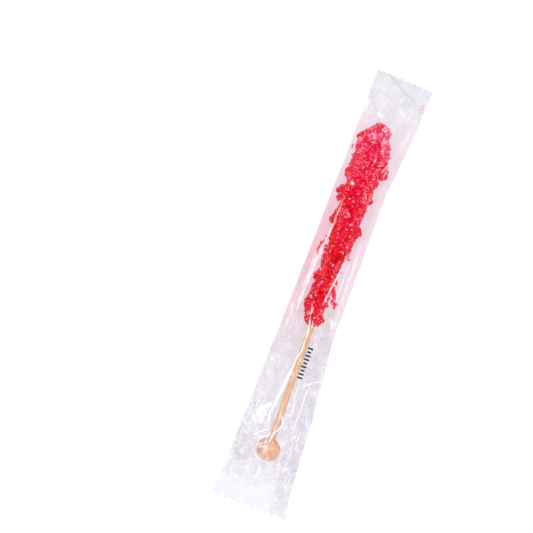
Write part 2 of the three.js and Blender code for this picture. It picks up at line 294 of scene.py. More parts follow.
@dataclass(frozen=True)
class SugarFinish:
    """Translucent red sugar: deep in the crevices and along edges, where shade is painted, pink on
    the outer facets, and white where glints are painted.

    Red light that wanders inside the sugar is painted on as a glow, even over the core and dimmed
    on the crystals by painted shade in crevices and pits, and where the sugar is coarse.
    """

    # painted shade: the dark red of sugar deep between the crystals
    crevice_shade: tuple = (0.30, 0.000, 0.004)
    deep: tuple = (0.42, 0.004, 0.022)
    bright: tuple = (0.44, 0.030, 0.124)
    rosy: tuple = (0.41, 0.130, 0.310)
    pale: tuple = (0.46, 0.320, 0.520)
    # the colour of painted glints
    white: tuple = (0.79, 0.800, 0.910)
    # a painted glow standing in for light inside the sugar, and its painted shade
    inner_light: tuple = (0.51, 0.0, 0.003)
    inner_shade: tuple = (0.15, 0.0, 0.002)
    clearness: float = 0.10
    roughness: float = 0.08
    speck_roughness: float = 0.10
    refraction: float = 1.54
    gloss: float = 0.15
    ramp_places: tuple = (0.0, 0.2, 0.45, 0.7, 0.9, 1.0)
    growth_scale: float = 300.0
    growth_lines: float = 42.0
    patch_scale: float = 850.0
    speck_scale: float = 2600.0
    flaw_scale: float = 520.0
    pit_scale: float = 1000.0
    grit_scale: float = 1300.0
    cloud_scale: float = 380.0

    def material(self) -> bpy.types.Material:
        """The crystals' material, which reads each face's own tone, painted shade and glints included,
        and how coarse the sugar is.
        """
        recipe = Recipe("sugar crystals")
        coarse = recipe.attribute("coarse")
        growth = recipe.bands(recipe.place(), self.growth_scale, self.growth_lines)
        patch = recipe.grain(recipe.place(), self.patch_scale, 2.0).between(0.36, 0.64)
        speck = recipe.grain(recipe.place(), self.speck_scale, 1.0).between(0.35, 0.65)
        flaw = recipe.flaws(recipe.place(), self.flaw_scale)
        # painted shade: dark pits scattered over the fine sugar
        shaded_pit = recipe.grain(recipe.place((0.3, 0.1, 0.2)), self.pit_scale, 2.0).between(0.56, 0.68)
        grit = recipe.grain(recipe.place((0.1, 0.5, 0.3)), self.grit_scale, 2.0).between(0.36, 0.64)
        lined = 0.35 * growth + 0.3 * grit + 0.1
        mottled = 0.7 * (1.0 - coarse) * patch
        own_tone = recipe.attribute("tone")
        tone = own_tone + (lined * coarse + mottled + 0.4 * speck - 0.3 * flaw) - 0.5 - 0.2 * shaded_pit
        # painted shade in crevices, where a face's own tone is deepest
        painted_crevice_shade = 2.5 * (0.05 - own_tone).clipped()
        # takes the painted glow down towards its painted shade in pits and crevices, and where the sugar is
        # coarse
        dimmed = 0.9 * shaded_pit * (1.0 - 0.7 * coarse) + painted_crevice_shade + 0.24 * coarse
        colours = (self.crevice_shade, self.deep, self.bright, self.rosy, self.pale, self.white)
        stops = list(zip(self.ramp_places, colours))
        return recipe.finish(recipe.surface({
            "Base Color": recipe.value("ShaderNodeValToRGB", {"stops": stops}, {"Fac": tone.clipped()}),
            "Roughness": self.roughness + speck * self.speck_roughness,
            "IOR": self.refraction,
            "Specular IOR Level": self.gloss,
            "Transmission Weight": self.clearness,
            "Emission Color": recipe.tint(self.inner_light, self.inner_shade, dimmed.clipped()),
            "Emission Strength": 1.0,
            "Normal": recipe.bump(speck, 0.15, 0.0002),
        }))

    def core(self) -> bpy.types.Material:
        """The dense sugar under the crystals, mottled between painted crevice shade and deep red, with
        the painted glow.
        """
        recipe = Recipe("sugar core")
        cloud = recipe.grain(recipe.place(), self.cloud_scale, 4.0)
        return recipe.finish(recipe.surface({
            "Base Color": recipe.tint(self.crevice_shade, self.deep, cloud),
            "Roughness": 0.45,
            "Specular IOR Level": self.gloss,
            "Emission Color": (*self.inner_light, 1.0),
            "Emission Strength": 1.0,
        }))


@dataclass(frozen=True)
class BirchFinish:
    """Bare birch with grain along one direction."""

    name: str
    light: tuple = (0.90, 0.60, 0.375)
    dark: tuple = (0.66, 0.33, 0.15)
    stretch: float = 0.05
    turn: tuple = (0.0, 0.0, 0.0)
    band_scale: float = 420.0
    fibre_scale: float = 2600.0

    def material(self) -> bpy.types.Material:
        """The wood's material."""
        recipe = Recipe(self.name)
        along = recipe.place(turn=self.turn, scale=(1.0, self.stretch, 1.0))
        fibre = recipe.grain(along, self.fibre_scale, 3.0, 0.6).between(0.3, 0.7)
        band = recipe.grain(along, self.band_scale, 2.0).between(0.3, 0.7)
        share = (0.45 * band + 0.75 * fibre - 0.15).clipped()
        return recipe.finish(recipe.surface({
            "Base Color": recipe.tint(self.light, self.dark, share),
            "Roughness": 0.55 + 0.2 * fibre,
            "Normal": recipe.bump(fibre, 0.3, 0.0001),
        }))


@dataclass(frozen=True)
class FilmFinish:
    """Clear glossy film: pink near the candy with its painted red light, white where creased with
    painted highlights and the film's own whitening, darker with painted shade along some folds and
    crinkles, and unseen where plies touch.
    """

    name: str = "clear film"
    passed: tuple = (0.948, 0.944, 0.972)
    # the film's tint where red light from the candy is painted on
    candy_light_pink: tuple = (0.947, 0.780, 0.838)
    dimmed: tuple = (0.68, 0.655, 0.69)
    # the colour of the film's whitening and painted highlights, then of its painted shade
    white: tuple = (0.95, 0.94, 0.97)
    dark: tuple = (0.42, 0.40, 0.50)
    mirror_share: float = 0.03
    edge_mirror: float = 0.8
    roughness: float = 0.06
    # the glow of the painted highlights
    haze_and_highlight_glow: float = 0.12
    streak_scale: float = 700.0
    mottle_scale: float = 240.0
    ripple_scale: float = 210.0
    glint_scale: float = 260.0
    ripple_turn: float = -0.5
    glint_turn: float = 0.35
    smooth_below: float = 0.25

    def clear(self, recipe: Recipe) -> Value:
        """Film that lets light through, more or less pink with painted red light from the candy, and
        dimmer in patches where it is veiled.
        """
        plain, pink, dim = (
            recipe.value("ShaderNodeBsdfTransparent", {}, {"Color": (*colour, 1.0)})
            for colour in (self.passed, self.candy_light_pink, self.dimmed)
        )
        mottle = recipe.grain(recipe.place(), self.mottle_scale, 4.0).between(0.35, 0.65)
        veiled = recipe.attribute("veil") * (0.4 + 1.2 * mottle)
        return recipe.mixed(recipe.mixed(plain, pink, recipe.attribute("candy_light")), dim, veiled)

    def lines(self, recipe: Recipe, offset: tuple, turn: float, scale: float) -> Value:
        """Fine lines that run mostly along the film, askew by a turn."""
        return recipe.ridges(recipe.place(offset, (0, 0, turn), (1.0, 0.4, 1.0)), scale)

    def material(self) -> bpy.types.Material:
        """The film's material, which reads how crumpled each place is, its painted red light from the
        candy, its whitening and painted highlights, and its painted shade.
        """
        recipe = Recipe(self.name)
        streaks = recipe.grain(recipe.place(scale=(1.0, 0.25, 1.0)), self.streak_scale, 4.0)
        normal = recipe.bump(streaks, 0.30, 0.0005)
        facing = recipe.value("ShaderNodeLayerWeight", {}, {"Blend": 0.5}, "Facing")
        mirror = recipe.surface({
            "Base Color": (1, 1, 1, 1),
            "Metallic": 1.0,
            "Roughness": self.roughness,
            "Normal": normal,
        })
        mirrored = (self.mirror_share + self.edge_mirror * facing ** 4).clipped()
        shiny = recipe.mixed(self.clear(recipe), mirror, mirrored)
        # lines of painted shade in the crumples
        ripple = self.lines(recipe, (0, 0, 0), self.ripple_turn, self.ripple_scale)
        # lines of painted highlight in the crumples
        glint = self.lines(recipe, (0.2, 0.4, 0.1), self.glint_turn, self.glint_scale)
        crinkled = (recipe.attribute("crumple") - self.smooth_below).clipped()
        haze_and_highlight = recipe.surface({
            "Base Color": (*self.white, 1.0),
            "Roughness": 0.5,
            "Emission Color": (1, 1, 1, 1),
            "Emission Strength": self.haze_and_highlight_glow,
            "Normal": normal,
        })
        painted_shade = recipe.surface({"Base Color": (*self.dark, 1.0), "Roughness": 0.5})
        # frost and the creases' painted highlights, plus painted glints in the crumples and a painted sheen
        # where the film turns away
        haze_and_highlight_share = 0.9 * recipe.attribute("white") + crinkled * (0.4 * glint + 0.2 * facing ** 2)
        # painted shade from the creases' dark marks and the crumples' ripple lines
        painted_shade_share = 0.8 * recipe.attribute("dark") + 0.25 * ripple * crinkled
        with_haze_and_highlights = recipe.mixed(shiny, haze_and_highlight, haze_and_highlight_share.clipped())
        with_painted_shade = recipe.mixed(with_haze_and_highlights, painted_shade, painted_shade_share.clipped())
        unseen = recipe.value("ShaderNodeBsdfTransparent", {}, {"Color": (1, 1, 1, 1)})
        return recipe.finish(recipe.mixed(with_painted_shade, unseen, recipe.attribute("contact")))


@dataclass(frozen=True)
class InkFinish:
    """Flat printing ink on the film."""

    name: str
    colour: tuple
    patch_scale: float = 2500.0
    lightening: float = 1.5

    def material(self) -> bpy.types.Material:
        """The ink's material, a little uneven."""
        recipe = Recipe(self.name)
        patch = recipe.grain(recipe.place(), self.patch_scale)
        lighter = tuple(min(1.0, c * self.lightening + 0.01) for c in self.colour)
        colour = recipe.tint(self.colour, lighter, patch)
        return recipe.finish(recipe.surface({"Base Color": colour, "Roughness": 0.4}))


@dataclass(frozen=True)
class TableFinish:
    """The pale surface under the pack, which gives back some light of its own."""

    colour: float = 0.25
    glow: float = 0.74

    def material(self) -> bpy.types.Material:
        """The table's material."""
        recipe = Recipe("pale table")
        return recipe.finish(recipe.surface({
            "Base Color": (self.colour, self.colour, self.colour, 1.0),
            "Roughness": 0.9,
            "Specular IOR Level": 0.0,
            "Emission Color": (1, 1, 1, 1),
            "Emission Strength": self.glow,
        }))


# ---- Making pieces ---------------------------------------------------------------------------


def finish_mesh(
    name: str, mesh: bpy.types.Mesh, place: Matrix, material: bpy.types.Material, smooth: bool = True
) -> bpy.types.Object:
    """Puts a mesh into the frame as an object at the origin.

    Args:
        name: The piece's name.
        mesh: The mesh, in its own frame.
        place: The matrix from that frame to metres.
        material: Its finish.
        smooth: Whether its faces are shaded smooth.

    Returns:
        The object.
    """
    mesh.name = name
    mesh.transform(place)
    mesh.polygons.foreach_set("use_smooth", [smooth] * len(mesh.polygons))
    mesh.materials.append(material)
    piece = bpy.data.objects.new(name, mesh)
    bpy.context.scene.collection.objects.link(piece)
    log.info("%s: %d faces", name, len(mesh.polygons))
    return piece


def mesh_of(shape: bmesh.types.BMesh) -> bpy.types.Mesh:
    """Turns a worked shape into a mesh and frees the shape."""
    mesh = bpy.data.meshes.new("worked shape")
    shape.to_mesh(mesh)
    shape.free()
    return mesh


def store_numbers(
    piece: bpy.types.Object, name: str, numbers: np.ndarray, domain: str = "POINT"
) -> None:
    """Stores a number on each of a piece's points or faces."""
    layer = piece.data.attributes.new(name, "FLOAT", domain)
    layer.data.foreach_set("value", numbers.astype(np.float32).ravel())


def points_of(shape: bmesh.types.BMesh) -> np.ndarray:
    """The places of a shape's points, one row each."""
    return np.array([vert.co for vert in shape.verts])


def move_points(shape: bmesh.types.BMesh, places: np.ndarray) -> None:
    """Moves a shape's points to new places."""
    for vert, place in zip(shape.verts, places):
        vert.co = place


def lay_grid(shape: bmesh.types.BMesh, places: np.ndarray) -> list[bmesh.types.BMVert]:
    """Adds a grid of faces to a shape.

    Args:
        shape: The shape.
        places: Where the grid's points go, by row, column and axis.

    Returns:
        The points, a row at a time.
    """
    rows, columns = places.shape[:2]
    made = bmesh.ops.create_grid(shape, x_segments=rows - 1, y_segments=columns - 1, size=1.0)
    ordered = sorted(made["verts"], key=lambda vert: (round(vert.co.x, 5), round(vert.co.y, 5)))
    for vert, place in zip(ordered, places.reshape(-1, 3)):
        vert.co = place
    return ordered


def solid_of(pieces: list[bpy.types.Object]) -> BVHTree:
    """One tree of the faces of several pieces, to cast rays at."""
    points, faces = [], []
    for piece in pieces:
        first = len(points)
        points.extend(vert.co.copy() for vert in piece.data.vertices)
        faces.extend([first + i for i in face.vertices] for face in piece.data.polygons)
    return BVHTree.FromPolygons(points, faces)


# ---- Candy -----------------------------------------------------------------------------------


@dataclass(frozen=True)
class Crop:
    """Sugar crystals of like size that grew together between two stations."""

    count: int
    least: float
    most: float
    tilt: float
    reach: tuple[float, float]
    first: float = 26.5
    last: float = 131.0
    pale: float = 0.0


@dataclass(frozen=True)
class Outcrop:
    """A knob of sugar that stands out of the rest, at a station and an angle round the dowel."""

    station: float
    degrees: float
    size: float
    tone: float = 0.5


@dataclass(frozen=True)
class Patch:
    """A stretch of the sugar with a tone of its own, at a station and an angle round the dowel."""

    station: float
    degrees: float
    half_length: float
    half_turn: float
    tone: float

    def toned(self, station: float, turn: float, tone: float) -> float:
        """The tone of a crystal that grows at this station and angle."""
        off = (math.degrees(turn) - self.degrees + 180) % 360 - 180
        is_inside = abs(station - self.station) < self.half_length and abs(off) < self.half_turn
        return self.tone if is_inside else tone


@dataclass(frozen=True)
class Crumb:
    """A loose splinter of sugar caught in the film: its place, size and turn seen from above."""

    station: float
    across: float
    width: float
    length: float
    degrees: float = 0.0
    height: float = 3.0


@dataclass(frozen=True)
class Bud:
    """One crystal before it is grown: its place along and round the dowel, and what it will be."""

    station: float
    turn: float
    size: float
    reach: float
    tilt: float
    tone: float
    is_ringed: bool = False


@dataclass(frozen=True)
class Pattern:
    """One crystal's points and faces, and which of the faces are its facets."""

    points: np.ndarray
    faces: list[tuple[int, ...]]
    facets: np.ndarray

    def centres(self, corners: np.ndarray) -> np.ndarray:
        """The middle of each face, with the crystal's points at these places."""
        return np.array([corners[list(face)].mean(0) for face in self.faces])


class Heap:
    """Crystals gathered into one mesh, with a tone for each face."""

    def __init__(self) -> None:
        """Starts with no crystals."""
        self.points: list[np.ndarray] = []
        self.polygons: list[tuple[int, ...]] = []
        self.tones: list[np.ndarray] = []
        self.count = 0

    def add(self, corners: np.ndarray, pattern: Pattern, tones: np.ndarray) -> None:
        """Adds one crystal, its points in place and its faces toned."""
        self.points.append(corners)
        self.polygons.extend(tuple(index + self.count for index in face) for face in pattern.faces)
        self.tones.append(tones)
        self.count += len(corners)

    def piece(self, name: str, place: Matrix, material: bpy.types.Material) -> bpy.types.Object:
        """Makes the piece that holds all the crystals."""
        mesh = bpy.data.meshes.new(name)
        mesh.from_pydata(np.concatenate(self.points).tolist(), [], self.polygons)
        piece = finish_mesh(name, mesh, place, material, smooth=False)
        store_numbers(piece, "tone", np.concatenate(self.tones), "FACE")
        return piece


@dataclass(frozen=True)
class Toning:
    """How pale each crystal of the sugar and each of its faces is, from 0, deep red, to 1, white.

    Coarse sugar, near the tip, is more even than fine sugar. A ringed crystal has pale rims round
    hollow facets, and any other has rims darkened by painted shade. Faces deeper down between the
    crystals are darkened by painted shade too. Sparkle paints glints on some rims, and flash on
    some facets.
    """

    least: float = 0.24
    spread: float = 0.48
    deep_bias: float = 1.8
    coarse_lift: float = 0.04
    coarse_evenness: float = 0.75
    palest: float = 0.92
    along: Outline = Outline((
        (25, 0.143), (27.5, 0.228), (29.5, 0.595), (32, 0.68), (45, 0.24), (50, 0.24), (64, 0.0),
        (80, 0.0), (108, -0.14),
    ))
    patches: tuple[Patch, ...] = (
        Patch(30.6, 72, 3.0, 38, 1.05), Patch(32.8, 112, 1.8, 24, 0.84), Patch(36.2, 40, 2.8, 24, 0.68),
    )
    contrast: float = 0.5
    coarse_contrast: float = 0.08
    ring_hollow: float = 0.12
    ring_tone: float = 0.17
    ring_fade: float = 1.2
    # a plain crystal's rims, darkened by painted shade
    edge_share: float = 0.3
    rim_shade: float = 0.28
    coarse_edge: float = 0.2
    # painted shade on faces deeper down between the crystals
    full_shade_until: float = 0.66
    unshaded_from: float = 0.92
    darkest_shade: float = 0.3
    coarse_darkest_shade: float = 0.85
    # painted glints on rims and on facets, toned white
    sparkle: Outline = Outline((
        (25, 0.0), (50, 0.01), (58, 0.04), (66, 0.03), (76, 0.02), (98, 0.02), (110, 0.03),
        (132.2, 0.06),
    ))
    flash: Outline = Outline(((100, 0.0), (110, 0.05), (132.2, 0.08)))
    glint: float = 1.4
    crumb_tone: float = 0.42
    crumb_contrast: float = 0.3

    def of_crystal(self, station: float, turn: float, coarse: float, extra: float, luck: float) -> float:
        """The tone of a whole crystal.

        Args:
            station: Where it grows along the pack.
            turn: Where it grows round the dowel, in radians.
            coarse: How coarse the sugar is there.
            extra: How much paler its crop is.
            luck: A random number from 0 to 1.

        Returns:
            Its tone.
        """
        even = 1 - self.coarse_evenness * coarse
        tone = self.least + self.coarse_lift * coarse + self.spread * even * luck ** self.deep_bias
        tone = min(self.palest, tone + extra + self.along.straight(station))
        for patch in self.patches:
            tone = patch.toned(station, turn, tone)
        return tone

    def of_faces(
        self, bud: Bud, pattern: Pattern, share: np.ndarray, station: np.ndarray, coarse: np.ndarray,
        shades: np.random.Generator,
    ) -> np.ndarray:
        """The tones of a crystal's faces, darkened by painted shade deeper down between the crystals and
        on plain rims, with painted glints here and there.

        Args:
            bud: The crystal's bud.
            pattern: Its pattern.
            share: How near the outermost sugar each face is.
            station: Where each face is along the pack.
            coarse: How coarse the sugar is there.
            shades: The source of random numbers.

        Returns:
            A tone for each face.
        """
        contrast = self.contrast + (self.coarse_contrast - self.contrast) * coarse
        facet = bud.tone + contrast * (shades.random(len(share)) - 0.5) - self.ring_hollow * bud.is_ringed
        least = self.darkest_shade + (self.coarse_darkest_shade - self.darkest_shade) * coarse
        # painted shade: 1 on the outermost sugar, down to the darkest shade deep inside
        depth = np.clip((share - self.full_shade_until) / (self.unshaded_from - self.full_shade_until), least, 1.0)
        rim = self.edge_share * bud.tone - self.rim_shade + self.coarse_edge * coarse
        if bud.is_ringed:
            rim = (bud.tone + self.ring_tone * (self.ring_fade - coarse)) * depth
        luck = shades.random(len(share))
        # painted glints
        sparkling = (luck < self.sparkle.at(station)) & ~pattern.facets
        flashing = (luck > 1 - self.flash.at(station)) & pattern.facets
        toned = np.where(pattern.facets, facet * depth, rim)
        return np.where(sparkling | flashing, self.glint, toned)

    def of_crumb(self, pattern: Pattern, shades: np.random.Generator) -> np.ndarray:
        """The tones of a loose crumb's faces, with rims darkened by painted shade."""
        facet = self.crumb_tone + self.crumb_contrast * (shades.random(len(pattern.faces)) - 0.5)
        return np.where(pattern.facets, facet, self.edge_share * facet)


@dataclass
class Candy:
    """Sugar crystals on a dense core, grown along the dowel, in the stick's own frame."""

    lay: Lay
    seed: int = 7
    # the outermost sugar
    tip: float = 25.0
    foot: float = 132.2
    underside: float = 5.8
    left_reach: Outline = Outline((
        (25, 1.8), (27, 3.2), (30, 6.2), (32, 9.0), (36, 10.4), (41, 10.3), (44, 9.1), (50, 10.2),
        (54, 9.7), (57.5, 9.0), (63, 10.5), (67, 9.9), (70, 8.3), (75, 8.0), (79, 9.0), (82, 6.5),
        (88, 6.2), (93, 7.2), (99, 6.2), (104, 6.7), (108, 7.5), (112, 6.6), (118, 7.6),
        (124, 8.2), (127, 5.7), (129.5, 5.0), (132.2, 2.9),
    ))
    right_reach: Outline = Outline((
        (25, 2.6), (27, 5.0), (30, 7.0), (33, 7.4), (37, 8.7), (41, 10.9), (44.5, 11.8), (51, 11.2),
        (54, 9.2), (58, 7.8), (63, 9.0), (67, 7.5), (71, 7.9), (75, 6.8), (79, 7.6), (81.5, 9.4),
        (84.5, 7.2), (93, 6.8), (99, 4.8), (104, 4.3), (110, 3.8), (118, 4.2), (123, 3.6),
        (125, 3.8), (127.5, 5.4), (129.5, 4.8), (132.2, 1.9),
    ))
    depth: Outline = Outline((
        (25, 2.2), (28.5, 4.4), (34, 5.7), (46, 6.2), (84, 6.0), (100, 5.6), (118, 5.6),
        (127, 4.8), (132.2, 2.4),
    ))
    coarseness: Outline = Outline(((25, 0.9), (55, 0.8), (66, 0.2), (132.2, 0.0)))
    toning: Toning = Toning()
    # the core
    core_sides: int = 28
    core_rings: int = 96
    core_share: float = 0.64
    core_length: float = 0.97
    core_taper: float = 6.0
    core_lump: float = 0.2
    core_lump_scale: float = 0.45
    # the shape of one crystal
    shear: float = 13.0
    blocks: tuple[tuple[float, float, int], ...] = (
        (1.0, 0.7, 1), (1.25, 0.6, 2), (0.8, 0.9, 1), (1.1, 0.45, 2), (1.4, 0.8, 0), (0.9, 0.75, 3),
    )
    bevel: float = 0.09
    rim_bevel: float = 0.12
    corner_cut: float = 0.22
    facet_share: float = 0.3
    # how crystals of many sizes gather into lumps and smaller knobs, and which have pale rims
    small_bias: float = 1.4
    lump: float = 0.12
    lump_round: float = 1.4
    lump_along: float = 0.17
    knob: float = 0.2
    knob_round: float = 4.0
    knob_along: float = 0.45
    knob_calm: float = 0.7
    most_reach: float = 1.06
    farthest: float = 13.0
    settle_steps: int = 12
    ringed: Outline = Outline((
        (25, 0.04), (54, 0.04), (60, 0.18), (76, 0.14), (84, 0.08), (104, 0.10), (112, 0.24),
        (132.2, 0.32),
    ))
    ring_size: float = 2.6
    fine: float = 3.3
    sink: float = 0.09
    # an outcrop's two crystals, each with its share of the size, its reach and how much deeper it is
    outcrop_pair: tuple[tuple[float, float, float], ...] = ((1.0, 1.02, 0.0), (0.6, 1.04, 0.1))
    outcrop_stray: float = 0.6
    outcrop_tilt: float = 30.0
    # the crystals, the knobs that stand out and the loose splinters
    crumb_lean: float = 0.4
    crumb_flatness: float = 0.8
    crops: tuple[Crop, ...] = (
        Crop(600, 1.3, 2.2, 60, (0.84, 1.02)),
        Crop(430, 2.1, 3.3, 45, (0.84, 1.02)),
        Crop(40, 3.4, 5.0, 32, (0.93, 1.0), 28, 62, 0.04),
        Crop(34, 5.0, 7.2, 18, (0.97, 1.01), 30, 60, 0.04),
        Crop(44, 3.0, 4.6, 35, (0.93, 1.01), 61, 130),
        Crop(16, 3.2, 4.6, 30, (0.97, 1.03), 27.5, 35, 0.1),
    )
    outcrops: tuple[Outcrop, ...] = (
        Outcrop(34.5, 172, 3.4), Outcrop(49, 5, 4.2), Outcrop(51.0, 0, 3.2, 0.7),
        Outcrop(52.5, 174, 3.2), Outcrop(63, 183, 3.6), Outcrop(67.5, 170, 3.0), Outcrop(79, 186, 2.8),
        Outcrop(80.5, 3, 4.0), Outcrop(64.5, 2, 3.2), Outcrop(107, 184, 2.6), Outcrop(127.5, 6, 2.8),
        Outcrop(28.0, 95, 3.6, 0.1), Outcrop(33.6, 50, 4.4, 0.85), Outcrop(38.0, 70, 3.6, 0.4),
        Outcrop(43.0, 118, 4.4, 0.55), Outcrop(46.5, 40, 4.2, 0.6), Outcrop(51.0, 100, 4.6, 0.5),
        Outcrop(74.0, 110, 3.8, 0.75), Outcrop(86.0, 112, 3.2, 0.65), Outcrop(95.0, 62, 1.6, -0.4),
        Outcrop(95.4, 72, 1.6, -0.4), Outcrop(96.8, 83, 1.6, -0.4), Outcrop(98.4, 85, 1.6, -0.4),
        Outcrop(99.8, 85, 1.4, -0.4),
    )
    crumbs: tuple[Crumb, ...] = (
        Crumb(76.6, -9.5, 1.0, 1.3, 20), Crumb(78.0, -10.8, 1.2, 1.9, -25),
        Crumb(79.9, -9.5, 1.0, 1.4, 40), Crumb(91.3, -10.9, 0.9, 2.6, -12, 2.6),
        Crumb(94.3, -11.3, 1.0, 3.2, -14, 2.4), Crumb(96.3, -11.0, 0.9, 1.4, 30, 2.4),
        Crumb(97.0, -10.0, 0.8, 1.0, 10), Crumb(87.5, -9.4, 1.0, 1.3, 15, 3.6),
        Crumb(90.2, -9.6, 0.9, 2.6, 4, 3.4), Crumb(92.6, -9.3, 0.9, 1.2, 50, 3.4),
        Crumb(89.5, 3.6, 1.0, 1.4, 25, 4.0), Crumb(92.0, 3.3, 1.0, 2.0, -8, 3.8),
        Crumb(94.6, 4.8, 0.9, 0.9, 35, 3.4), Crumb(102.0, 3.4, 0.7, 0.9, 10, 3.8),
        Crumb(107.4, 2.9, 1.1, 2.4, 12, 4.0), Crumb(111.2, 2.7, 1.5, 3.2, -6, 4.0),
        Crumb(112.9, 3.6, 1.9, 2.4, 30, 3.7), Crumb(114.6, 4.4, 1.3, 2.0, 48, 3.5),
        Crumb(117.2, 4.9, 1.7, 2.2, 55, 3.4), Crumb(118.5, 6.5, 1.0, 2.6, -12, 3.2),
        Crumb(116.0, 2.4, 0.8, 2.2, 8, 4.2), Crumb(119.6, 2.4, 1.1, 2.6, 66, 4.2),
        Crumb(121.2, 1.4, 0.9, 2.6, -40, 4.4), Crumb(36.2, 4.7, 1.2, 1.6, 20, 5.0),
        Crumb(41.0, -13.2, 0.6, 1.5, 10, 5.0), Crumb(130.2, -0.6, 1.2, 1.4, 30, 8.2),
        Crumb(128.6, -5.6, 1.3, 1.6, 15, 6.0),
    )

    def reaches(self, across: np.ndarray, station: np.ndarray) -> np.ndarray:
        """How far the sugar reaches to the side that each place across is on."""
        return np.where(across < 0, self.left_reach.at(station), self.right_reach.at(station))

    def share_of_reach(self, points: np.ndarray) -> np.ndarray:
        """How near the outermost sugar each point is, 1 being on it."""
        station = self.lay.ball_station - points[..., 1]
        wide = points[..., 0] / self.reaches(points[..., 0], station)
        high = points[..., 2] / self.depth.at(station)
        return np.hypot(wide, high)

    def fits(self, points: np.ndarray, reach: float) -> bool:
        """Whether points stay inside a share of the outermost sugar, and off the film beneath."""
        station = self.lay.ball_station - points[:, 1]
        inside = (station > self.tip) & (station < self.foot) & (points[:, 2] > -self.underside)
        return bool(inside.all() and self.share_of_reach(points).max() <= reach)

    def core(self) -> bmesh.types.BMesh:
        """The dense middle: a ball drawn out along the dowel, with a lumpy skin."""
        shape = bmesh.new()
        bmesh.ops.create_uvsphere(
            shape, u_segments=self.core_sides, v_segments=self.core_rings, radius=1.0
        )
        points = points_of(shape)
        round_about = np.hypot(points[:, 0], points[:, 1])
        half_length = (self.foot - self.tip) / 2 * self.core_length
        station = (self.tip + self.foot) / 2 - points[:, 2] * half_length
        unit = points[:, :2] / np.maximum(round_about, 1e-6)[:, None]
        full = np.minimum(1.0, round_about * self.core_taper) * self.core_share
        wide = unit[:, 0] * self.reaches(unit[:, 0], station) * full
        high = unit[:, 1] * self.depth.at(station) * full
        skin = np.stack([wide, station, high], 1) * self.core_lump_scale
        lumps = 1 + self.core_lump * np.array([noise.noise(Vector(place)) for place in skin])
        places = np.stack([wide * lumps, self.lay.lengthwise(station), high * lumps], 1)
        move_points(shape, places)
        bmesh.ops.recalc_face_normals(shape, faces=shape.faces)
        return shape

    def crystal(
        self, stretch: float, flat: float, corners: int, bevel: float, chance: random.Random
    ) -> bmesh.types.BMesh:
        """One crystal a millimetre across: a leaning block with cut corners and eased edges.

        Args:
            stretch: Its length as a share of its width.
            flat: Its thickness as a share of its width.
            corners: How many corners are cut off.
            bevel: How far its edges are eased.
            chance: The source of random numbers.

        Returns:
            The crystal's shape.
        """
        shape = bmesh.new()
        bmesh.ops.create_cube(shape, size=1.0)
        lean = Matrix.Shear("XY", 4, (math.tan(math.radians(self.shear)), 0.0))
        size = Matrix.Diagonal((1.0, stretch, flat, 1.0))
        bmesh.ops.transform(shape, matrix=size @ lean, verts=shape.verts)
        for corner in chance.sample(list(shape.verts), corners):
            outward = corner.co.normalized()
            made = bmesh.ops.bisect_plane(
                shape, geom=shape.verts[:] + shape.edges[:] + shape.faces[:],
                plane_co=corner.co - outward * self.corner_cut, plane_no=outward, clear_outer=True,
            )
            rim = [e for e in made["geom_cut"] if isinstance(e, bmesh.types.BMEdge)]
            bmesh.ops.contextual_create(shape, geom=rim)
        bmesh.ops.bevel(
            shape, geom=shape.edges[:], offset=bevel, segments=1, affect="EDGES", profile=0.5, material=-1
        )
        bmesh.ops.recalc_face_normals(shape, faces=shape.faces)
        return shape

    def patterns(self, bevel: float, chance: random.Random) -> list[Pattern]:
        """A few crystals of differing proportions, which the crops are made of."""
        made = []
        for stretch, flat, corners in self.blocks:
            shape = self.crystal(stretch, flat, corners, bevel, chance)
            largest = max(face.calc_area() for face in shape.faces)
            made.append(Pattern(
                points_of(shape),
                [tuple(vert.index for vert in face.verts) for face in shape.faces],
                np.array([face.calc_area() > self.facet_share * largest for face in shape.faces]),
            ))
            shape.free()
        return made

    def settle(self, corners: np.ndarray, outward: np.ndarray, reach: float) -> np.ndarray | None:
        """Moves a crystal out along its direction until it just comes to the outermost sugar.

        Args:
            corners: Its points, with its middle on the dowel's axis.
            outward: The direction away from the dowel.
            reach: The share of the outermost sugar that it comes to.

        Returns:
            Its points in place, or None where it doesn't fit.
        """
        near, far = 0.0, self.farthest
        if not self.fits(corners, reach):
            return None
        for _ in range(self.settle_steps):
            middle = (near + far) / 2
            near, far = (middle, far) if self.fits(corners + outward * middle, reach) else (near, middle)
        return corners + outward * near

    @staticmethod
    def swell(station: float, turn: float, round_scale: float, along_scale: float) -> float:
        """How far the sugar swells or sinks at a place, from -1 to 1."""
        across, up = math.cos(turn) * round_scale, math.sin(turn) * round_scale
        return noise.noise(Vector((across, up, station * along_scale)))

    def sprout(self, crop: Crop, number: int, chance: random.Random) -> Bud:
        """Draws what one crystal of a crop will be.

        Args:
            crop: The crop.
            number: The crystal's number, which spreads the crop along and round the dowel.
            chance: The source of random numbers.

        Returns:
            The crystal's bud.
        """
        station = crop.first + (crop.last - crop.first) * (number + chance.random()) / crop.count
        turn = number * GOLDEN_TURN + chance.random()
        size = crop.least + (crop.most - crop.least) * chance.random() ** self.small_bias
        coarse = float(self.coarseness.at(station))
        lump = self.lump * self.swell(station, turn, self.lump_round, self.lump_along)
        knob = self.knob * (1 - self.knob_calm * coarse)
        knob = knob * self.swell(station, turn, self.knob_round, self.knob_along)
        reach = crop.reach[0] + (crop.reach[1] - crop.reach[0]) * chance.random()
        reach = min(self.most_reach, reach + lump + knob)
        if size < self.fine:
            reach -= self.sink * coarse * max(0.0, math.sin(turn))
        tone = self.toning.of_crystal(station, turn, coarse, crop.pale, chance.random())
        is_ringed = chance.random() < self.ringed.at(station) * size / self.ring_size
        return Bud(station, turn, size, reach, crop.tilt, tone, is_ringed)

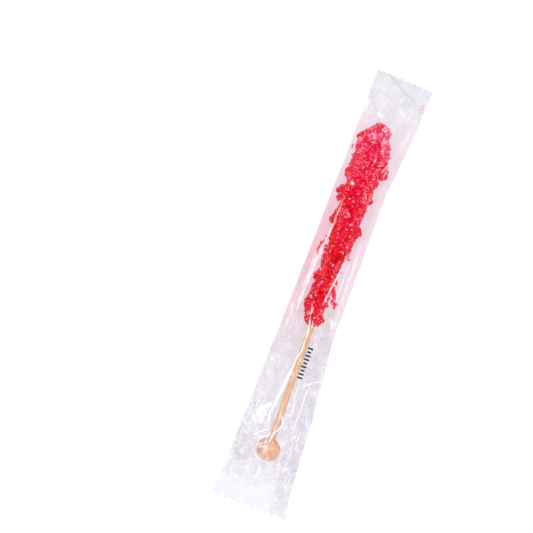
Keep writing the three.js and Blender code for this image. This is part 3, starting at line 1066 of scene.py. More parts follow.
    def grow(self, heap: Heap, patterns: list[Pattern], chance: random.Random) -> None:
        """Covers the core with crystals, crop by crop, and adds the outcrops."""
        shades = np.random.default_rng(self.seed)
        rimmed = self.patterns(self.rim_bevel, random.Random(self.seed))
        for crop in self.crops:
            for number in range(crop.count):
                bud = self.sprout(crop, number, chance)
                pattern = chance.choice(rimmed if bud.is_ringed else patterns)
                self.grow_one(heap, chance, shades, pattern, bud)
        for outcrop in self.outcrops:
            turn = math.radians(outcrop.degrees)
            for share, reach, deeper in self.outcrop_pair:
                stray = self.outcrop_stray * outcrop.size * (chance.random() - 0.5)
                station, size, tone = outcrop.station + stray, outcrop.size * share, outcrop.tone - deeper
                bud = Bud(station, turn, size, reach, self.outcrop_tilt, tone)
                self.grow_one(heap, chance, shades, chance.choice(rimmed), bud)

    def grow_one(
        self, heap: Heap, chance: random.Random, shades: np.random.Generator, pattern: Pattern, bud: Bud
    ) -> None:
        """Grows one crystal from its bud and adds it to the heap, if it fits."""
        outward = Vector((math.cos(bud.turn), 0, math.sin(bud.turn)))
        tilts = [math.radians(bud.tilt) * (2 * chance.random() - 1) for _ in range(2)]
        stand = Euler((*tilts, chance.random() * 2 * math.pi)).to_matrix()
        spin = np.array(Vector((0, 0, 1)).rotation_difference(outward).to_matrix() @ stand)
        corners = pattern.points * bud.size @ spin.T + np.array((0, self.lay.lengthwise(bud.station), 0))
        settled = self.settle(corners, np.array(outward), bud.reach)
        if settled is None:
            return
        centres = pattern.centres(settled)
        station = self.lay.ball_station - centres[:, 1]
        share, coarse = self.share_of_reach(centres), self.coarseness.at(station)
        heap.add(settled, pattern, self.toning.of_faces(bud, pattern, share, station, coarse, shades))

    def scatter(self, heap: Heap, patterns: list[Pattern], chance: random.Random) -> None:
        """Adds the loose crumbs, in the pack's frame."""
        shades = np.random.default_rng(self.seed + 1)
        for crumb in self.crumbs:
            pattern = chance.choice(patterns)
            size = Matrix.Diagonal((crumb.width, crumb.length, self.crumb_flatness * crumb.width))
            tilts = [self.crumb_lean * (chance.random() - 0.5) for _ in range(2)]
            lean = Euler((*tilts, math.radians(crumb.degrees))).to_matrix()
            corners = pattern.points @ np.array(lean @ size).T
            corners = corners + np.array((crumb.across, self.lay.y(crumb.station), crumb.height))
            heap.add(corners, pattern, self.toning.of_crumb(pattern, shades))

    def build(self) -> list[bpy.types.Object]:
        """Makes the core, the crystals and the crumbs and puts them in place of the plain candy."""
        sugar = SugarFinish()
        chance = random.Random(self.seed)
        patterns = self.patterns(self.bevel, chance)
        grown, loose = Heap(), Heap()
        self.grow(grown, patterns, chance)
        self.scatter(loose, patterns, chance)
        place = self.lay.stick_matrix()
        core = finish_mesh("sugar_core", mesh_of(self.core()), place, sugar.core())
        crystals = grown.piece("sugar_crystals", place, sugar.material())
        crumbs = loose.piece("sugar_crumbs", self.lay.pack_matrix(), sugar.material())
        centres = [self.lay.length / 2 - face.center.y / MM for face in crystals.data.polygons]
        store_numbers(crystals, "coarse", self.coarseness.at(np.array(centres)), "FACE")
        for piece in (core, crystals, crumbs):
            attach(piece, BODY)
        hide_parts("candy")
        return [core, crystals, crumbs]


# ---- Stick and ball --------------------------------------------------------------------------


@dataclass
class SwizzleStick:
    """A turned dowel with a wooden ball on its end, in the stick's own frame."""

    lay: Lay
    radius: float = 1.6
    dowel_top: float = 30.0
    bore_depth: float = 5.0
    chamfer: float = 0.25
    sway: float = 0.06
    sway_scale: float = 0.05
    dowel_sides: int = 28
    dowel_cuts: int = 40
    ball_segments: int = 56
    ball_rings: int = 40
    collar_depth: float = 0.7
    collar_radius: float = 1.9
    ball_flaw: float = 0.006
    ball_flaw_scale: float = 0.35

    def dowel(self) -> bmesh.types.BMesh:
        """The dowel, from its seat in the ball to its end in the candy."""
        start = self.lay.ball_radius - self.bore_depth
        end = self.lay.lengthwise(self.dowel_top)
        shape = bmesh.new()
        bmesh.ops.create_cone(
            shape, cap_ends=True, segments=self.dowel_sides, radius1=self.radius, radius2=self.radius,
            depth=end - start,
        )
        rims = [e for e in shape.edges if len({round(v.co.z, 4) for v in e.verts}) == 1]
        bmesh.ops.bevel(
            shape, geom=rims, offset=self.chamfer, segments=2, affect="EDGES", profile=0.5, material=-1
        )
        sides = [e for e in shape.edges if abs(e.verts[0].co.z - e.verts[1].co.z) > 1.0]
        bmesh.ops.subdivide_edges(shape, edges=sides, cuts=self.dowel_cuts, use_grid_fill=True)
        turn = Matrix.Rotation(-math.pi / 2, 4, "X")
        middle = Matrix.Translation((0, (start + end) / 2, 0))
        bmesh.ops.transform(shape, matrix=middle @ turn, verts=shape.verts)
        for vert in shape.verts:
            vert.co.x += self.sway * noise.noise(Vector((3.1, vert.co.y * self.sway_scale, 0.7)))
        return shape

    def ball(self) -> bmesh.types.BMesh:
        """The ball, a little uneven, with a dished collar where the dowel goes in."""
        shape = bmesh.new()
        bmesh.ops.create_uvsphere(
            shape, u_segments=self.ball_segments, v_segments=self.ball_rings, radius=self.lay.ball_radius
        )
        bmesh.ops.rotate(shape, matrix=Matrix.Rotation(-math.pi / 2, 3, "X"), verts=shape.verts)
        for vert in shape.verts:
            off_axis = math.hypot(vert.co.x, vert.co.z)
            if vert.co.y > 0:
                vert.co.y -= self.collar_depth * math.exp(-((off_axis / self.collar_radius) ** 4))
            vert.co *= 1 - self.ball_flaw * (1 + noise.noise(vert.co * self.ball_flaw_scale))
        return shape

    def build(self) -> list[bpy.types.Object]:
        """Makes the dowel and the ball and puts them in place of the plain ones."""
        place = self.lay.stick_matrix()
        skew = -math.radians(self.lay.skew)
        birch = BirchFinish("birch dowel", turn=(0, 0, skew))
        turned = BirchFinish(
            "birch ball", (0.99, 0.66, 0.43), (0.55, 0.23, 0.09), 0.5, (0.5, 0.2, 0.9), 800.0, 2200.0
        )
        dowel = finish_mesh("stick_dowel", mesh_of(self.dowel()), place, birch.material())
        ball = finish_mesh("stick_ball", mesh_of(self.ball()), place, turned.material())
        for piece, node, slot in ((dowel, "stick", "dowel_wood"), (ball, "ball", "ball_wood")):
            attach(piece, BODY)
            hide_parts(node)
        return [dowel, ball]


# ---- Wrapper ---------------------------------------------------------------------------------


@dataclass(frozen=True)
class Crease:
    """A fold in the film, through places of a station and a distance across.

    A positive mark paints a highlight along it, where the fold catches the light, in part the
    film's own whitening where it is creased, and a negative one paints shade along it.
    """

    path: tuple[tuple[float, float], ...]
    height: float = 0.5
    width: float = 0.5
    # painted light along the fold: a highlight where positive, shade where negative
    painted_light: float = 0.8
    breadth: float = 0.32
    end_strength: float = 0.25
    end_rise: float = 6.0
    gap_scale: float = 0.5
    gap_strength: float = 0.45

    def reading(self, station: np.ndarray, across: np.ndarray) -> tuple[np.ndarray, np.ndarray]:
        """How far each place is from the fold, and how strong the fold is beside it."""
        nearest = np.full(station.shape, np.inf)
        fade = np.zeros(station.shape)
        legs = list(zip(self.path, self.path[1:]))
        for number, ((s0, x0), (s1, x1)) in enumerate(legs):
            ds, dx = s1 - s0, x1 - x0
            t = np.clip(((station - s0) * ds + (across - x0) * dx) / (ds * ds + dx * dx), 0, 1)
            away = np.hypot(station - s0 - t * ds, across - x0 - t * dx)
            along = (number + t) / len(legs)
            strength = self.end_rise * np.minimum(along, 1 - along) + self.end_strength
            closer = away < nearest
            nearest = np.where(closer, away, nearest)
            fade = np.where(closer, np.minimum(1.0, strength), fade)
        return nearest, fade

    def lift(self, station: np.ndarray, across: np.ndarray) -> np.ndarray:
        """How far it lifts the film at each place."""
        away, fade = self.reading(station, across)
        return self.height * fade * np.exp(-away / self.width)

    def tone(self, station: np.ndarray, across: np.ndarray) -> np.ndarray:
        """How much painted highlight or painted shade it lays on the film at each place, with weaker gaps
        here and there.
        """
        away, fade = self.reading(station, across)
        tone = self.painted_light * fade * np.exp(-((away / self.breadth) ** 2))
        for index in zip(*np.nonzero(np.abs(tone) > 0.02)):
            s, x = station[index] * self.gap_scale, across[index] * self.gap_scale
            broken = 1.0 + noise.noise(Vector((s, x, self.breadth)))
            tone[index] *= min(1.0, max(self.gap_strength, broken))
        return tone


@dataclass(frozen=True)
class Ripple:
    """A pattern that lifts the film, with its height and how fast it changes across and along."""

    height: float
    across: float
    along: float
    seed: float = 0.0
    skew: float = 0.0

    def place(self, station: float, across: float, seed: float) -> Vector:
        """Where in the noise a place on the film is read."""
        return Vector((across * self.across + station * self.skew, station * self.along, self.seed + seed))

    def wave(self, station: float, across: float, seed: float = 0.0) -> float:
        """Its lift at a place, where it rises and falls softly."""
        return self.height * noise.noise(self.place(station, across, seed))

    def crest(self, station: float, across: float, seed: float = 0.0) -> float:
        """Its lift at a place, where it comes to sharp crests."""
        return self.height * (1 - 2 * abs(noise.noise(self.place(station, across, seed))))


class Ply(Enum):
    """The two plies of the flattened tube."""

    FRONT = 1
    BACK = -1


@dataclass
class Wrapper:
    """The sealed sleeve of film and its back fin, in the pack's own frame."""

    lay: Lay
    columns: int = 126
    body_rows: int = 340
    seal_rows: int = 18
    fin_columns: int = 26
    fin_rows: int = 330
    # the seals and their teeth
    seal_band: float = 12.5
    seal_height: float = 3.0
    seal_half: float = 0.07
    top_depth: float = 1.0
    bottom_depth: float = 1.5
    top_teeth: int = 9
    bottom_pitch: float = 3.54
    rib_pitch: float = 0.93
    rib_height: float = 0.07
    tip_slope: float = 1.6
    tooth_fade: float = 4.5
    # the fin
    fin_gap: float = 0.18
    fin_rest: float = 0.16
    fin_thickness: float = 0.08
    fin_veil: float = 0.18
    fin_low: float = 0.25
    fin_rise: float = 0.9
    fin_waves: Ripple = Ripple(0.9, 0.25, 0.07, 4.0)
    fin_crests: Ripple = Ripple(0.45, 0.5, 0.4, 7.0)
    fin_free_run: float = 4.0
    fin_top_run: float = 10.0
    fin_bottom_run: float = 12.0
    # how the plies are drawn over what they hold
    gap: float = 0.12
    haste: float = 1.85
    settling: int = 900
    smoothing: int = 5
    widening: int = 2
    fin_room: float = 0.42
    fin_margin: float = 1.0
    clearance: float = 0.06
    least_room: float = 0.01
    edge_run: float = 2.5
    seal_run: float = 3.0
    lift_share: float = 0.55
    pleats: Ripple = Ripple(0.30, 0.45, 0.05)
    folds: Ripple = Ripple(0.6, 0.20, 0.15, 5.0)
    fine_pleats: Ripple = Ripple(0.22, 0.62, 0.42, 9.0, skew=0.2)
    drift: float = 0.3
    # where plies cling, and where the left side's casts, the veil and the painted red light from the
    # candy, give way to the right side's
    seam: float = 0.3
    fin_cling: float = 0.85
    edge_cling: float = 0.8
    fin_hidden_from: float = 4.0
    fin_hidden_run: float = 2.0
    fin_shows_from: float = 126.0
    fin_shows_run: float = 8.0
    left_from: float = 3.0
    left_run: float = 10.0
    # outlines of the tube and the fin, and casts along the pack: crumples, painted red light from
    # the candy, veils and frost
    left_edge: Outline = Outline(((0, -14.5), (26, -14.4), (113, -15.5), (206, -17.6), (227, -18.7)))
    right_edge: Outline = Outline((
        (0, 15.1), (26, 13.9), (45, 12.2), (60, 10.9), (118, 11.4), (142, 11.3), (152, 10.9), (161, 9.3),
        (172, 8.9), (190, 9.3), (214, 10.4), (227, 10.9),
    ))
    wobble_height: float = 0.3
    wobble_scale: float = 0.09
    wobble_run: float = 10.0
    edge_crowding: float = 0.25
    edge_height: Outline = Outline((
        (12.5, 3), (34, 6), (84, 6), (120, 5), (150, 3.6), (180, 4), (196, 5.5), (214.5, 3),
    ))
    fin_root: Outline = Outline(((12.5, -2), (110, -0.4), (150, 3.2), (198, 8), (214.5, 9.6), (227, 10.4)))
    fin_edge: Outline = Outline((
        (12.5, 7.3), (110, 8.9), (140, 12.2), (149, 13.2), (156, 13.9), (165, 14.5), (178, 16.0),
        (184, 16.1), (193, 17.1), (214, 18.2), (221, 19.4), (227, 20.2),
    ))
    crumple: Outline = Outline((
        (0, 0.1), (10, 0.3), (15, 0.75), (23, 0.65), (32, 0.3), (60, 0.2), (120, 0.25), (140, 0.45),
        (168, 0.5), (180, 0.9), (196, 1.0), (208, 1.0), (214.5, 0.6), (220, 0.2), (227, 0.1),
    ))
    # painted red light from the candy, on the left and the right, which tints the film pink
    left_candy_light: Outline = Outline((
        (0, 0.0), (14, 0.05), (30, 0.35), (60, 0.62), (82, 0.95), (108, 0.9), (124, 0.6),
        (140, 0.3), (156, 0.1), (172, 0.05), (204, 0.05), (214, 0.0),
    ))
    right_candy_light: Outline = Outline((
        (0, 0.0), (14, 0.05), (30, 0.3), (45, 0.36), (75, 0.4), (95, 0.34), (120, 0.34), (134, 0.2),
        (152, 0.09), (170, 0.06), (204, 0.06), (214, 0.0),
    ))
    left_veil: Outline = Outline((
        (0, 0.1), (12, 0.1), (20, 0.05), (40, 0.06), (85, 0.03), (108, 0.1), (140, 0.13),
        (182, 0.14), (205, 0.14), (213, 0.08), (227, 0.08),
    ))
    right_veil: Outline = Outline((
        (0, 0.1), (12, 0.1), (20, 0.07), (26, 0.04), (42, 0.08), (60, 0.06), (100, 0.08),
        (122, 0.13), (140, 0.14), (182, 0.15), (205, 0.14), (213, 0.06), (227, 0.06),
    ))
    frost: Outline = Outline(((0, 0.0), (200, 0.0), (213, 0.05), (218, 0.12), (227, 0.12)))
    creases: tuple[Crease, ...] = (
        # over the candy
        Crease(
            ((66, -8.2), (80, -8.7), (88, -9.4), (100, -9.9), (112, -10.5), (131, -11.2)),
            0.5, 0.5, 0.75, 0.26,
        ),
        Crease(((94.5, -11.9), (106, -11.6), (117, -12.4)), 0.4, 0.6, 0.35, 0.5),
        Crease(((92, 3.4), (106, 2.1), (112, 1.3), (120, 0.5)), 0.5, 0.5, 0.75, 0.34),
        Crease(((95, 5.8), (106, 5.5), (117, 6.3)), 0.5, 0.5, 0.5, 0.3),
        Crease(((121.5, -4.4), (125, -4.0), (128.5, -3.4)), 0.4, 0.4, 0.7, 0.17),
        Crease(((92, -9.6), (100, -10.6), (112, -11.2), (126, -11.0)), 0.3, 0.9, 0.45, 0.8),
        Crease(((129, -1.5), (133, -0.6)), 0.3, 0.4, 0.6, 0.24),
        Crease(((43, 6.9), (46, 5.8), (49, 5.0)), 0.3, 0.4, 0.6, 0.26),
        Crease(((47, 7.2), (51, 6.4)), 0.3, 0.4, 0.5, 0.24),
        Crease(((52.6, 2.7), (54.0, 1.7)), 0.3, 0.4, 0.5, 0.24),
        Crease(((58.4, -7.6), (59.2, -6.2)), 0.2, 0.6, 0.95, 0.6),
        Crease(((60, 3.6), (74, 4.6)), 0.3, 0.4, 0.25, 0.24),
        # the neck and the candy-end seal
        Crease(
            ((0.2, -9.6), (2.3, -6.4), (4.5, -2.5), (6.8, 1.5), (8.3, 4.8), (9.2, 8.2)),
            0.5, 0.9, -1.3, 0.26,
        ),
        Crease(((8.5, -14.0), (8.9, -8.0), (10.4, -2.0)), 0.3, 0.9, 0.18, 1.1),
        Crease(((12.5, 0.5), (15.5, 2.2), (19.5, 3.2), (22.0, 5.4)), 0.4, 0.8, 0.2, 0.4),
        Crease(((14.0, 5.2), (17.0, 5.8), (21.0, 8.2)), 0.4, 0.8, 0.2, 0.35),
        Crease(((16.0, -12.5), (18.2, -13.6), (22.0, -13.0)), 0.4, 0.8, 0.3, 0.4),
        Crease(((13.2, -14.0), (17, -11.4), (20.6, -8.0), (22, -5.0)), 0.4, 0.7, -0.5, 0.26),
        Crease(((21.2, -7.2), (22.6, -5.4), (22.4, -4.2)), 0.3, 0.7, 0.9, 0.7),
        Crease(((9.0, 2.6), (13.5, 1.4), (18, 4.4), (20, 9.0)), 0.4, 0.7, 0.3, 0.5),
        Crease(((24, 10.6), (30, 11.2)), 0.3, 0.6, 0.3, 0.5),
        Crease(((84, 7.6), (100, 8.2), (118, 8.8), (134, 9.6)), 0.3, 0.8, 0.28, 1.0),
        Crease(((14, 6.5), (17, 9.5), (18.6, 13.2)), 0.4, 0.7, -0.2, 0.3),
        Crease(((15, -3), (19, -1), (23, 3)), 0.4, 0.7, -0.2, 0.3),
        # beside and over the bare dowel
        Crease(
            ((128, -3.5), (131, -2.5), (137, -1.75), (142, -1.55), (147, -1.95), (152, -2.65)),
            0.6, 0.6, 1.0, 0.3,
        ),
        Crease(((133, -3.0), (140, -2.6), (147, -3.0)), 0.3, 0.4, 0.45, 0.18),
        Crease(
            ((150, -2.4), (156, -3.1), (160.5, -3.5), (165, -3.8), (170.5, -4.5), (176, -4.9)),
            0.6, 0.7, 1.0, 0.45,
        ),
        Crease(((174, -4.8), (180, -5.7), (184.5, -3.9)), 0.5, 0.5, 0.6, 0.3),
        Crease(
            ((178.2, -0.5), (179.5, 1.2), (182, 2.6), (184.5, 1.8), (186.5, 0.3), (190, -0.8), (193, -0.8)),
            0.5, 0.5, 1.0, 0.3,
        ),
        Crease(((177, 1.2), (177, 4.6)), 0.3, 0.4, 0.8, 0.28),
        Crease(((169, 3.8), (172, 4.8), (176.6, 4.5)), 0.3, 0.4, 0.6, 0.26),
        Crease(((162, 3.5), (167, 3.3), (171, 4.2)), 0.3, 0.4, 0.45, 0.24),
        Crease(((156, -3.2), (158, -1.0)), 0.3, 0.4, 0.7, 0.26),
        Crease(((159.5, -2.6), (160.5, -1.0)), 0.2, 0.4, 0.5, 0.24),
        Crease(((161.8, 5.2), (159.6, 7.4), (157.7, 10.4), (155.6, 14.4)), 0.5, 0.6, 0.8, 0.34),
        Crease(((159, 8.4), (168, 8.2), (176, 8.5), (188, 8.9)), 0.4, 0.5, 0.62, 0.3),
        Crease(((125.4, 6.6), (127.6, 8.1), (129.8, 8.6)), 0.4, 0.6, 0.75, 0.42),
        Crease(((123, -14.0), (129, -13.0), (136, -13.4)), 0.5, 0.9, 0.3, 0.9),
        # round the ball
        Crease(((174.6, -6.6), (176.6, -8.2)), 0.5, 1.0, 0.9, 0.9),
        Crease(((176.8, -8.6), (180, -10.6), (183, -10.4)), 0.5, 1.2, 0.95, 1.2),
        Crease(((178.5, -7.4), (182, -8.4), (185.5, -8.6)), 0.5, 1.0, 0.75, 0.8),
        Crease(((182.5, -12.4), (186.5, -10.9)), 0.4, 0.8, 0.5, 0.5),
        Crease(((192, -9.5), (189, -6.4), (186.5, -3.0)), 0.5, 0.6, 0.8, 0.26),
        Crease(((194, -8.5), (191.4, -5.2), (188.5, -1.5)), 0.4, 0.5, 0.8, 0.26),
        Crease(((196.5, -6.6), (193.8, -3.6), (191.5, -1.4)), 0.3, 0.5, 0.8, 0.24),
        Crease(((196.4, -5.0), (195.6, -3.0), (194.6, -0.8)), 0.2, 0.4, 0.9, 0.26),
        Crease(((193, -0.8), (196.0, -1.2), (199.0, -2.6)), 0.2, 0.4, 0.6, 0.22),
        Crease(((190, 1.8), (191.4, 4.6)), 0.2, 0.4, 0.35, 0.24),
        Crease(((199.5, -3.4), (201.4, -0.6), (200.6, 2.4)), 0.0, 0.4, 0.17, 1.6),
        Crease(((203.6, -2.4), (208.5, -0.6), (213, -0.9)), 0.4, 0.5, 0.25, 0.3),
        Crease(((203.4, 2.2), (208.4, 2.8)), 0.4, 0.5, 0.25, 0.3),
        Crease(((205, -14.5), (209, -9.5), (212.6, -4.0)), 0.5, 0.7, -0.2, 0.3),
        Crease(((209.5, 3.6), (212.0, 8.2)), 0.4, 0.7, -0.25, 0.3),
    )

    # -- The sleeve's ground plan --

    @staticmethod
    def edge_teeth(across: np.ndarray, left: float, pitch: float, depth: float) -> np.ndarray:
        """How far a toothed edge is cut in at each place across."""
        phase = np.mod((across - left) / pitch, 1.0)
        return depth * (1 - np.abs(2 * phase - 1))

    def bottom_cut(self, station: np.ndarray, across: np.ndarray) -> np.ndarray:
        """How far the teeth of the ball-end seal draw each place in."""
        left = self.left_edge.at(self.lay.length)
        teeth = self.edge_teeth(across, left, self.bottom_pitch, self.bottom_depth)
        return teeth * np.clip(1 - (self.lay.length - station) / self.tooth_fade, 0, 1)

    def wobble(self, rows: np.ndarray, seed: float) -> np.ndarray:
        """How far a side edge strays at each station, which is nothing at the tips."""
        stray = np.array([noise.noise(Vector((row * self.wobble_scale, seed, 0.3))) for row in rows])
        from_tip = np.minimum(rows, self.lay.length - rows)
        return self.wobble_height * stray * np.clip(from_tip / self.wobble_run, 0, 1)

    def ground_plan(self) -> tuple[np.ndarray, np.ndarray]:
        """The stations and places across of the sleeve's grid, one row for each station."""
        near = np.linspace(0, self.seal_band, self.seal_rows, endpoint=False)
        body = np.linspace(self.seal_band, self.lay.length - self.seal_band, self.body_rows)
        far = self.lay.length - near[::-1]
        rows = np.concatenate([near, body, far])
        u = np.linspace(-1, 1, self.columns + 1)
        u = (1 - self.edge_crowding) * u + self.edge_crowding * np.sin(u * math.pi / 2)
        left = (self.left_edge.at(rows) + self.wobble(rows, 1.7))[:, None]
        right = (self.right_edge.at(rows) + self.wobble(rows, 8.2))[:, None]
        across = (left + right) / 2 + (right - left) / 2 * u[None, :]
        station = np.repeat(rows[:, None], self.columns + 1, 1)
        start, width = self.left_edge.at(0), self.right_edge.at(0) - self.left_edge.at(0)
        teeth = self.edge_teeth(across, start, width / self.top_teeth, self.top_depth)
        top_cut = self.tip_slope * (across - start) / width + teeth
        station = station + top_cut * np.clip(1 - station / self.tooth_fade, 0, 1)
        return station - self.bottom_cut(station, across), across

    # -- The sleeve's heights --

    def contents_heights(
        self, contents: BVHTree, station: np.ndarray, across: np.ndarray, ply: Ply
    ) -> np.ndarray:
        """The contents' outermost height at each place of the grid, or nan where there is none."""
        place = self.lay.pack_matrix()
        inward = Vector((0, 0, -ply.value))
        heights = np.full(station.shape, np.nan)
        for index in np.ndindex(station.shape):
            at = place @ Vector((across[index], self.lay.y(station[index]), ABOVE_ALL * ply.value))
            hit = contents.ray_cast(at, inward)[0]
            if hit is not None:
                heights[index] = hit.z / MM
        return heights

    def stretch(
        self, heights: np.ndarray, floor: np.ndarray, ceiling: np.ndarray, fixed: np.ndarray
    ) -> np.ndarray:
        """Draws a ply taut between its fixed places, over and under what it may not pass.

        Args:
            heights: Its first heights.
            floor: The least height at each place.
            ceiling: The greatest height at each place.
            fixed: Where it is held.

        Returns:
            The heights of the taut ply.
        """
        row, column = np.indices(heights.shape)
        inside = np.zeros(heights.shape, bool)
        inside[1:-1, 1:-1] = True
        halves = [inside & ~fixed & ((row + column) % 2 == parity) for parity in (0, 1)]
        for _ in range(self.settling):
            for half in halves:
                drawn = heights.copy()
                drawn[1:-1, 1:-1] = 0.25 * (
                    heights[:-2, 1:-1] + heights[2:, 1:-1] + heights[1:-1, :-2] + heights[1:-1, 2:]
                )
                moved = np.clip(heights + self.haste * (drawn - heights), floor, ceiling)
                heights = np.where(half, moved, heights)
        return heights

    @staticmethod
    def widened(heights: np.ndarray, radius: int) -> np.ndarray:
        """The greatest height within some steps of each place."""
        wide = heights.copy()
        for _ in range(radius):
            grown = wide.copy()
            grown[1:] = np.fmax(grown[1:], wide[:-1])
            grown[:-1] = np.fmax(grown[:-1], wide[1:])
            grown[:, 1:] = np.fmax(grown[:, 1:], wide[:, :-1])
            grown[:, :-1] = np.fmax(grown[:, :-1], wide[:, 1:])
            wide = grown
        return wide

    @staticmethod
    def softened(heights: np.ndarray) -> np.ndarray:
        """Heights averaged with their neighbours."""
        padded = np.pad(heights, 1, mode="edge")
        around = padded[:-2, 1:-1] + padded[2:, 1:-1] + padded[1:-1, :-2] + padded[1:-1, 2:]
        return (around + 4 * heights) / 8

    def wrinkles(self, station: np.ndarray, across: np.ndarray, seed: float) -> np.ndarray:
        """Fine pleats along the film and sharp crumples, stronger near the seals and the ball."""
        lift = np.zeros(station.shape)
        strength = self.crumple.at(station)
        for index in np.ndindex(station.shape):
            at, strong = (station[index], across[index], seed), strength[index]
            pleated = self.pleats.crest(*at) + self.fine_pleats.crest(*at)
            lift[index] = strong * (pleated + strong * self.folds.crest(*at))
        return lift

    def limits(
        self, hits: np.ndarray, station: np.ndarray, across: np.ndarray, ply: Ply
    ) -> tuple[np.ndarray, np.ndarray]:
        """The least and greatest heights of a ply, between its contents and what it lies on.

        Args:
            hits: The heights that it has to clear, or nan.
            station: The grid's stations.
            across: The grid's places across.
            ply: Which ply.

        Returns:
            The least height and the greatest height of each place.
        """
        over_fin = across > self.fin_root.at(station) - self.fin_margin
        over_fin &= across < self.fin_edge.at(station) + self.fin_margin
        ground = np.where(over_fin, self.fin_room, self.clearance)
        if ply is Ply.FRONT:
            return np.fmax(hits, ground), np.full(station.shape, ABOVE_ALL)
        return ground, np.fmax(np.where(np.isnan(hits), ABOVE_ALL, hits), ground + self.least_room)

    def in_seal(self, station: np.ndarray) -> np.ndarray:
        """Which places lie in either seal."""
        return (station <= self.seal_band) | (station >= self.lay.length - self.seal_band)

    def ply_heights(
        self, contents: BVHTree, station: np.ndarray, across: np.ndarray, ply: Ply
    ) -> np.ndarray:
        """The heights of one ply.

        Args:
            contents: What the sleeve holds.
            station: The grid's stations.
            across: The grid's places across.
            ply: Which ply.

        Returns:
            The height of each place.
        """
        side, sealed = ply.value, self.in_seal(station)
        free = ~sealed
        free[:, 0] = free[:, -1] = False
        ribs = self.rib_height * np.sin(2 * math.pi * across / self.rib_pitch)
        seal = self.seal_height + side * self.seal_half + ribs
        heights = np.where(sealed, seal, self.edge_height.at(station))
        hits = self.contents_heights(contents, station, across, ply) + side * self.gap
        low, high = self.limits(hits, station, across, ply)
        cleared = side * self.widened(side * hits, self.widening)
        heights = self.stretch(heights, *self.limits(cleared, station, across, ply), ~free)
        for _ in range(self.smoothing):
            heights = np.where(free, np.clip(self.softened(heights), low, high), heights)
        lift = self.wrinkles(station, across, 2.0 + side)
        if ply is Ply.FRONT:
            lift = lift + sum(crease.lift(station, across) for crease in self.creases)
        from_edge = np.minimum(across - across[:, :1], across[:, -1:] - across)
        from_seal = np.minimum(station - self.seal_band, self.lay.length - self.seal_band - station)
        room = np.clip(from_edge / self.edge_run, 0, 1) * np.clip(from_seal / self.seal_run, 0, 1)
        heights = heights + np.where(free, lift * room * side * self.lift_share, 0.0)
        return np.where(free, np.clip(heights, low, high), heights)

    def sleeve(self, contents: BVHTree) -> tuple[bmesh.types.BMesh, np.ndarray]:
        """The sleeve as one closed skin, two grids welded at their rims.

        Args:
            contents: What the sleeve holds.

        Returns:
            Its shape, and 1 for each point of the front ply and 0 for the others.
        """
        station, across = self.ground_plan()
        rim = np.ones(station.shape, bool)
        rim[1:-1, 1:-1] = False
        rim_height = np.where(self.in_seal(station), self.seal_height, self.edge_height.at(station))
        shape = bmesh.new()
        front = shape.verts.layers.float.new("front")
        for ply in Ply:
            heights = np.where(rim, rim_height, self.ply_heights(contents, station, across, ply))
            for vert in lay_grid(shape, np.stack([across, self.lay.y(station), heights], -1)):
                vert[front] = float(ply is Ply.FRONT)
        bmesh.ops.remove_doubles(shape, verts=shape.verts, dist=1e-4)
        bmesh.ops.recalc_face_normals(shape, faces=shape.faces)
        is_front = np.array([vert[front] for vert in shape.verts])
        shape.verts.layers.float.remove(front)
        return shape, is_front

    # -- The fin --

    def fin_height(self, station: float, across: float) -> float:
        """How high the fin lies: flat under the tube, loose and wavy past it, and up into the seals."""
        past_edge = across - float(self.right_edge.at(station)) + 1.0
        beyond = min(1.0, max(0.0, past_edge / self.fin_free_run))
        rippled = self.fin_waves.wave(station, across) + self.fin_crests.crest(station, across)
        loose = self.fin_low + beyond * (self.fin_rise + rippled)
        to_bottom = 1 - (self.lay.length - self.seal_band - station) / self.fin_bottom_run
        to_top = 1 - (station - self.seal_band) / self.fin_top_run
        t = min(1.0, max(0.0, to_bottom, to_top))
        eased = t * t * (3 - 2 * t)
        rib = self.rib_height * math.sin(2 * math.pi * across / self.rib_pitch)
        return loose + (self.seal_height + rib - loose) * eased

    def fin(self, sleeve: BVHTree) -> bmesh.types.BMesh:
        """The fin along the sleeve's back, pressed flat, which shows past the tube's right edge."""
        rows = np.linspace(self.seal_band, self.lay.length, self.fin_rows + 1)
        root = self.fin_root.at(rows)[:, None]
        edge = (self.fin_edge.at(rows) + self.wobble(rows, 5.1))[:, None]
        across = root + (edge - root) * np.linspace(0, 1, self.fin_columns + 1)[None, :]
        station = np.repeat(rows[:, None], self.fin_columns + 1, 1)
        station = station - self.bottom_cut(station, across)
        place = self.lay.pack_matrix()
        heights = np.zeros(station.shape)
        for index in np.ndindex(station.shape):
            s, x = station[index], across[index]
            below = place @ Vector((x, self.lay.y(s), -ABOVE_ALL))
            ply = sleeve.ray_cast(below, Vector((0, 0, 1)))[0]
            ceiling = ply.z / MM - self.fin_gap if ply is not None else ABOVE_ALL
            heights[index] = max(self.fin_rest, min(self.fin_height(s, x), ceiling))
        shape = bmesh.new()
        lay_grid(shape, np.stack([across, self.lay.y(station), heights], -1))
        bmesh.ops.recalc_face_normals(shape, faces=shape.faces)
        bmesh.ops.solidify(shape, geom=shape.faces[:], thickness=self.fin_thickness)
        bmesh.ops.recalc_face_normals(shape, faces=shape.faces)
        return shape

    # -- The pieces --

    def contact(self, station: np.ndarray, across: np.ndarray, is_fin: bool) -> np.ndarray:
        """Where plies cling and don't show: the fin under the tube, and the tube's edge on the fin."""
        inside = self.right_edge.at(station) - across
        if is_fin:
            hidden = np.clip((inside - self.fin_hidden_from) / self.fin_hidden_run, 0, 1)
            return np.maximum(self.fin_cling * np.clip(inside / self.seam, 0, 1), hidden)
        on_fin = np.clip((station - self.fin_shows_from) / self.fin_shows_run, 0, 1)
        return self.edge_cling * np.clip(1.5 - inside / self.seam, 0, 1) * on_fin

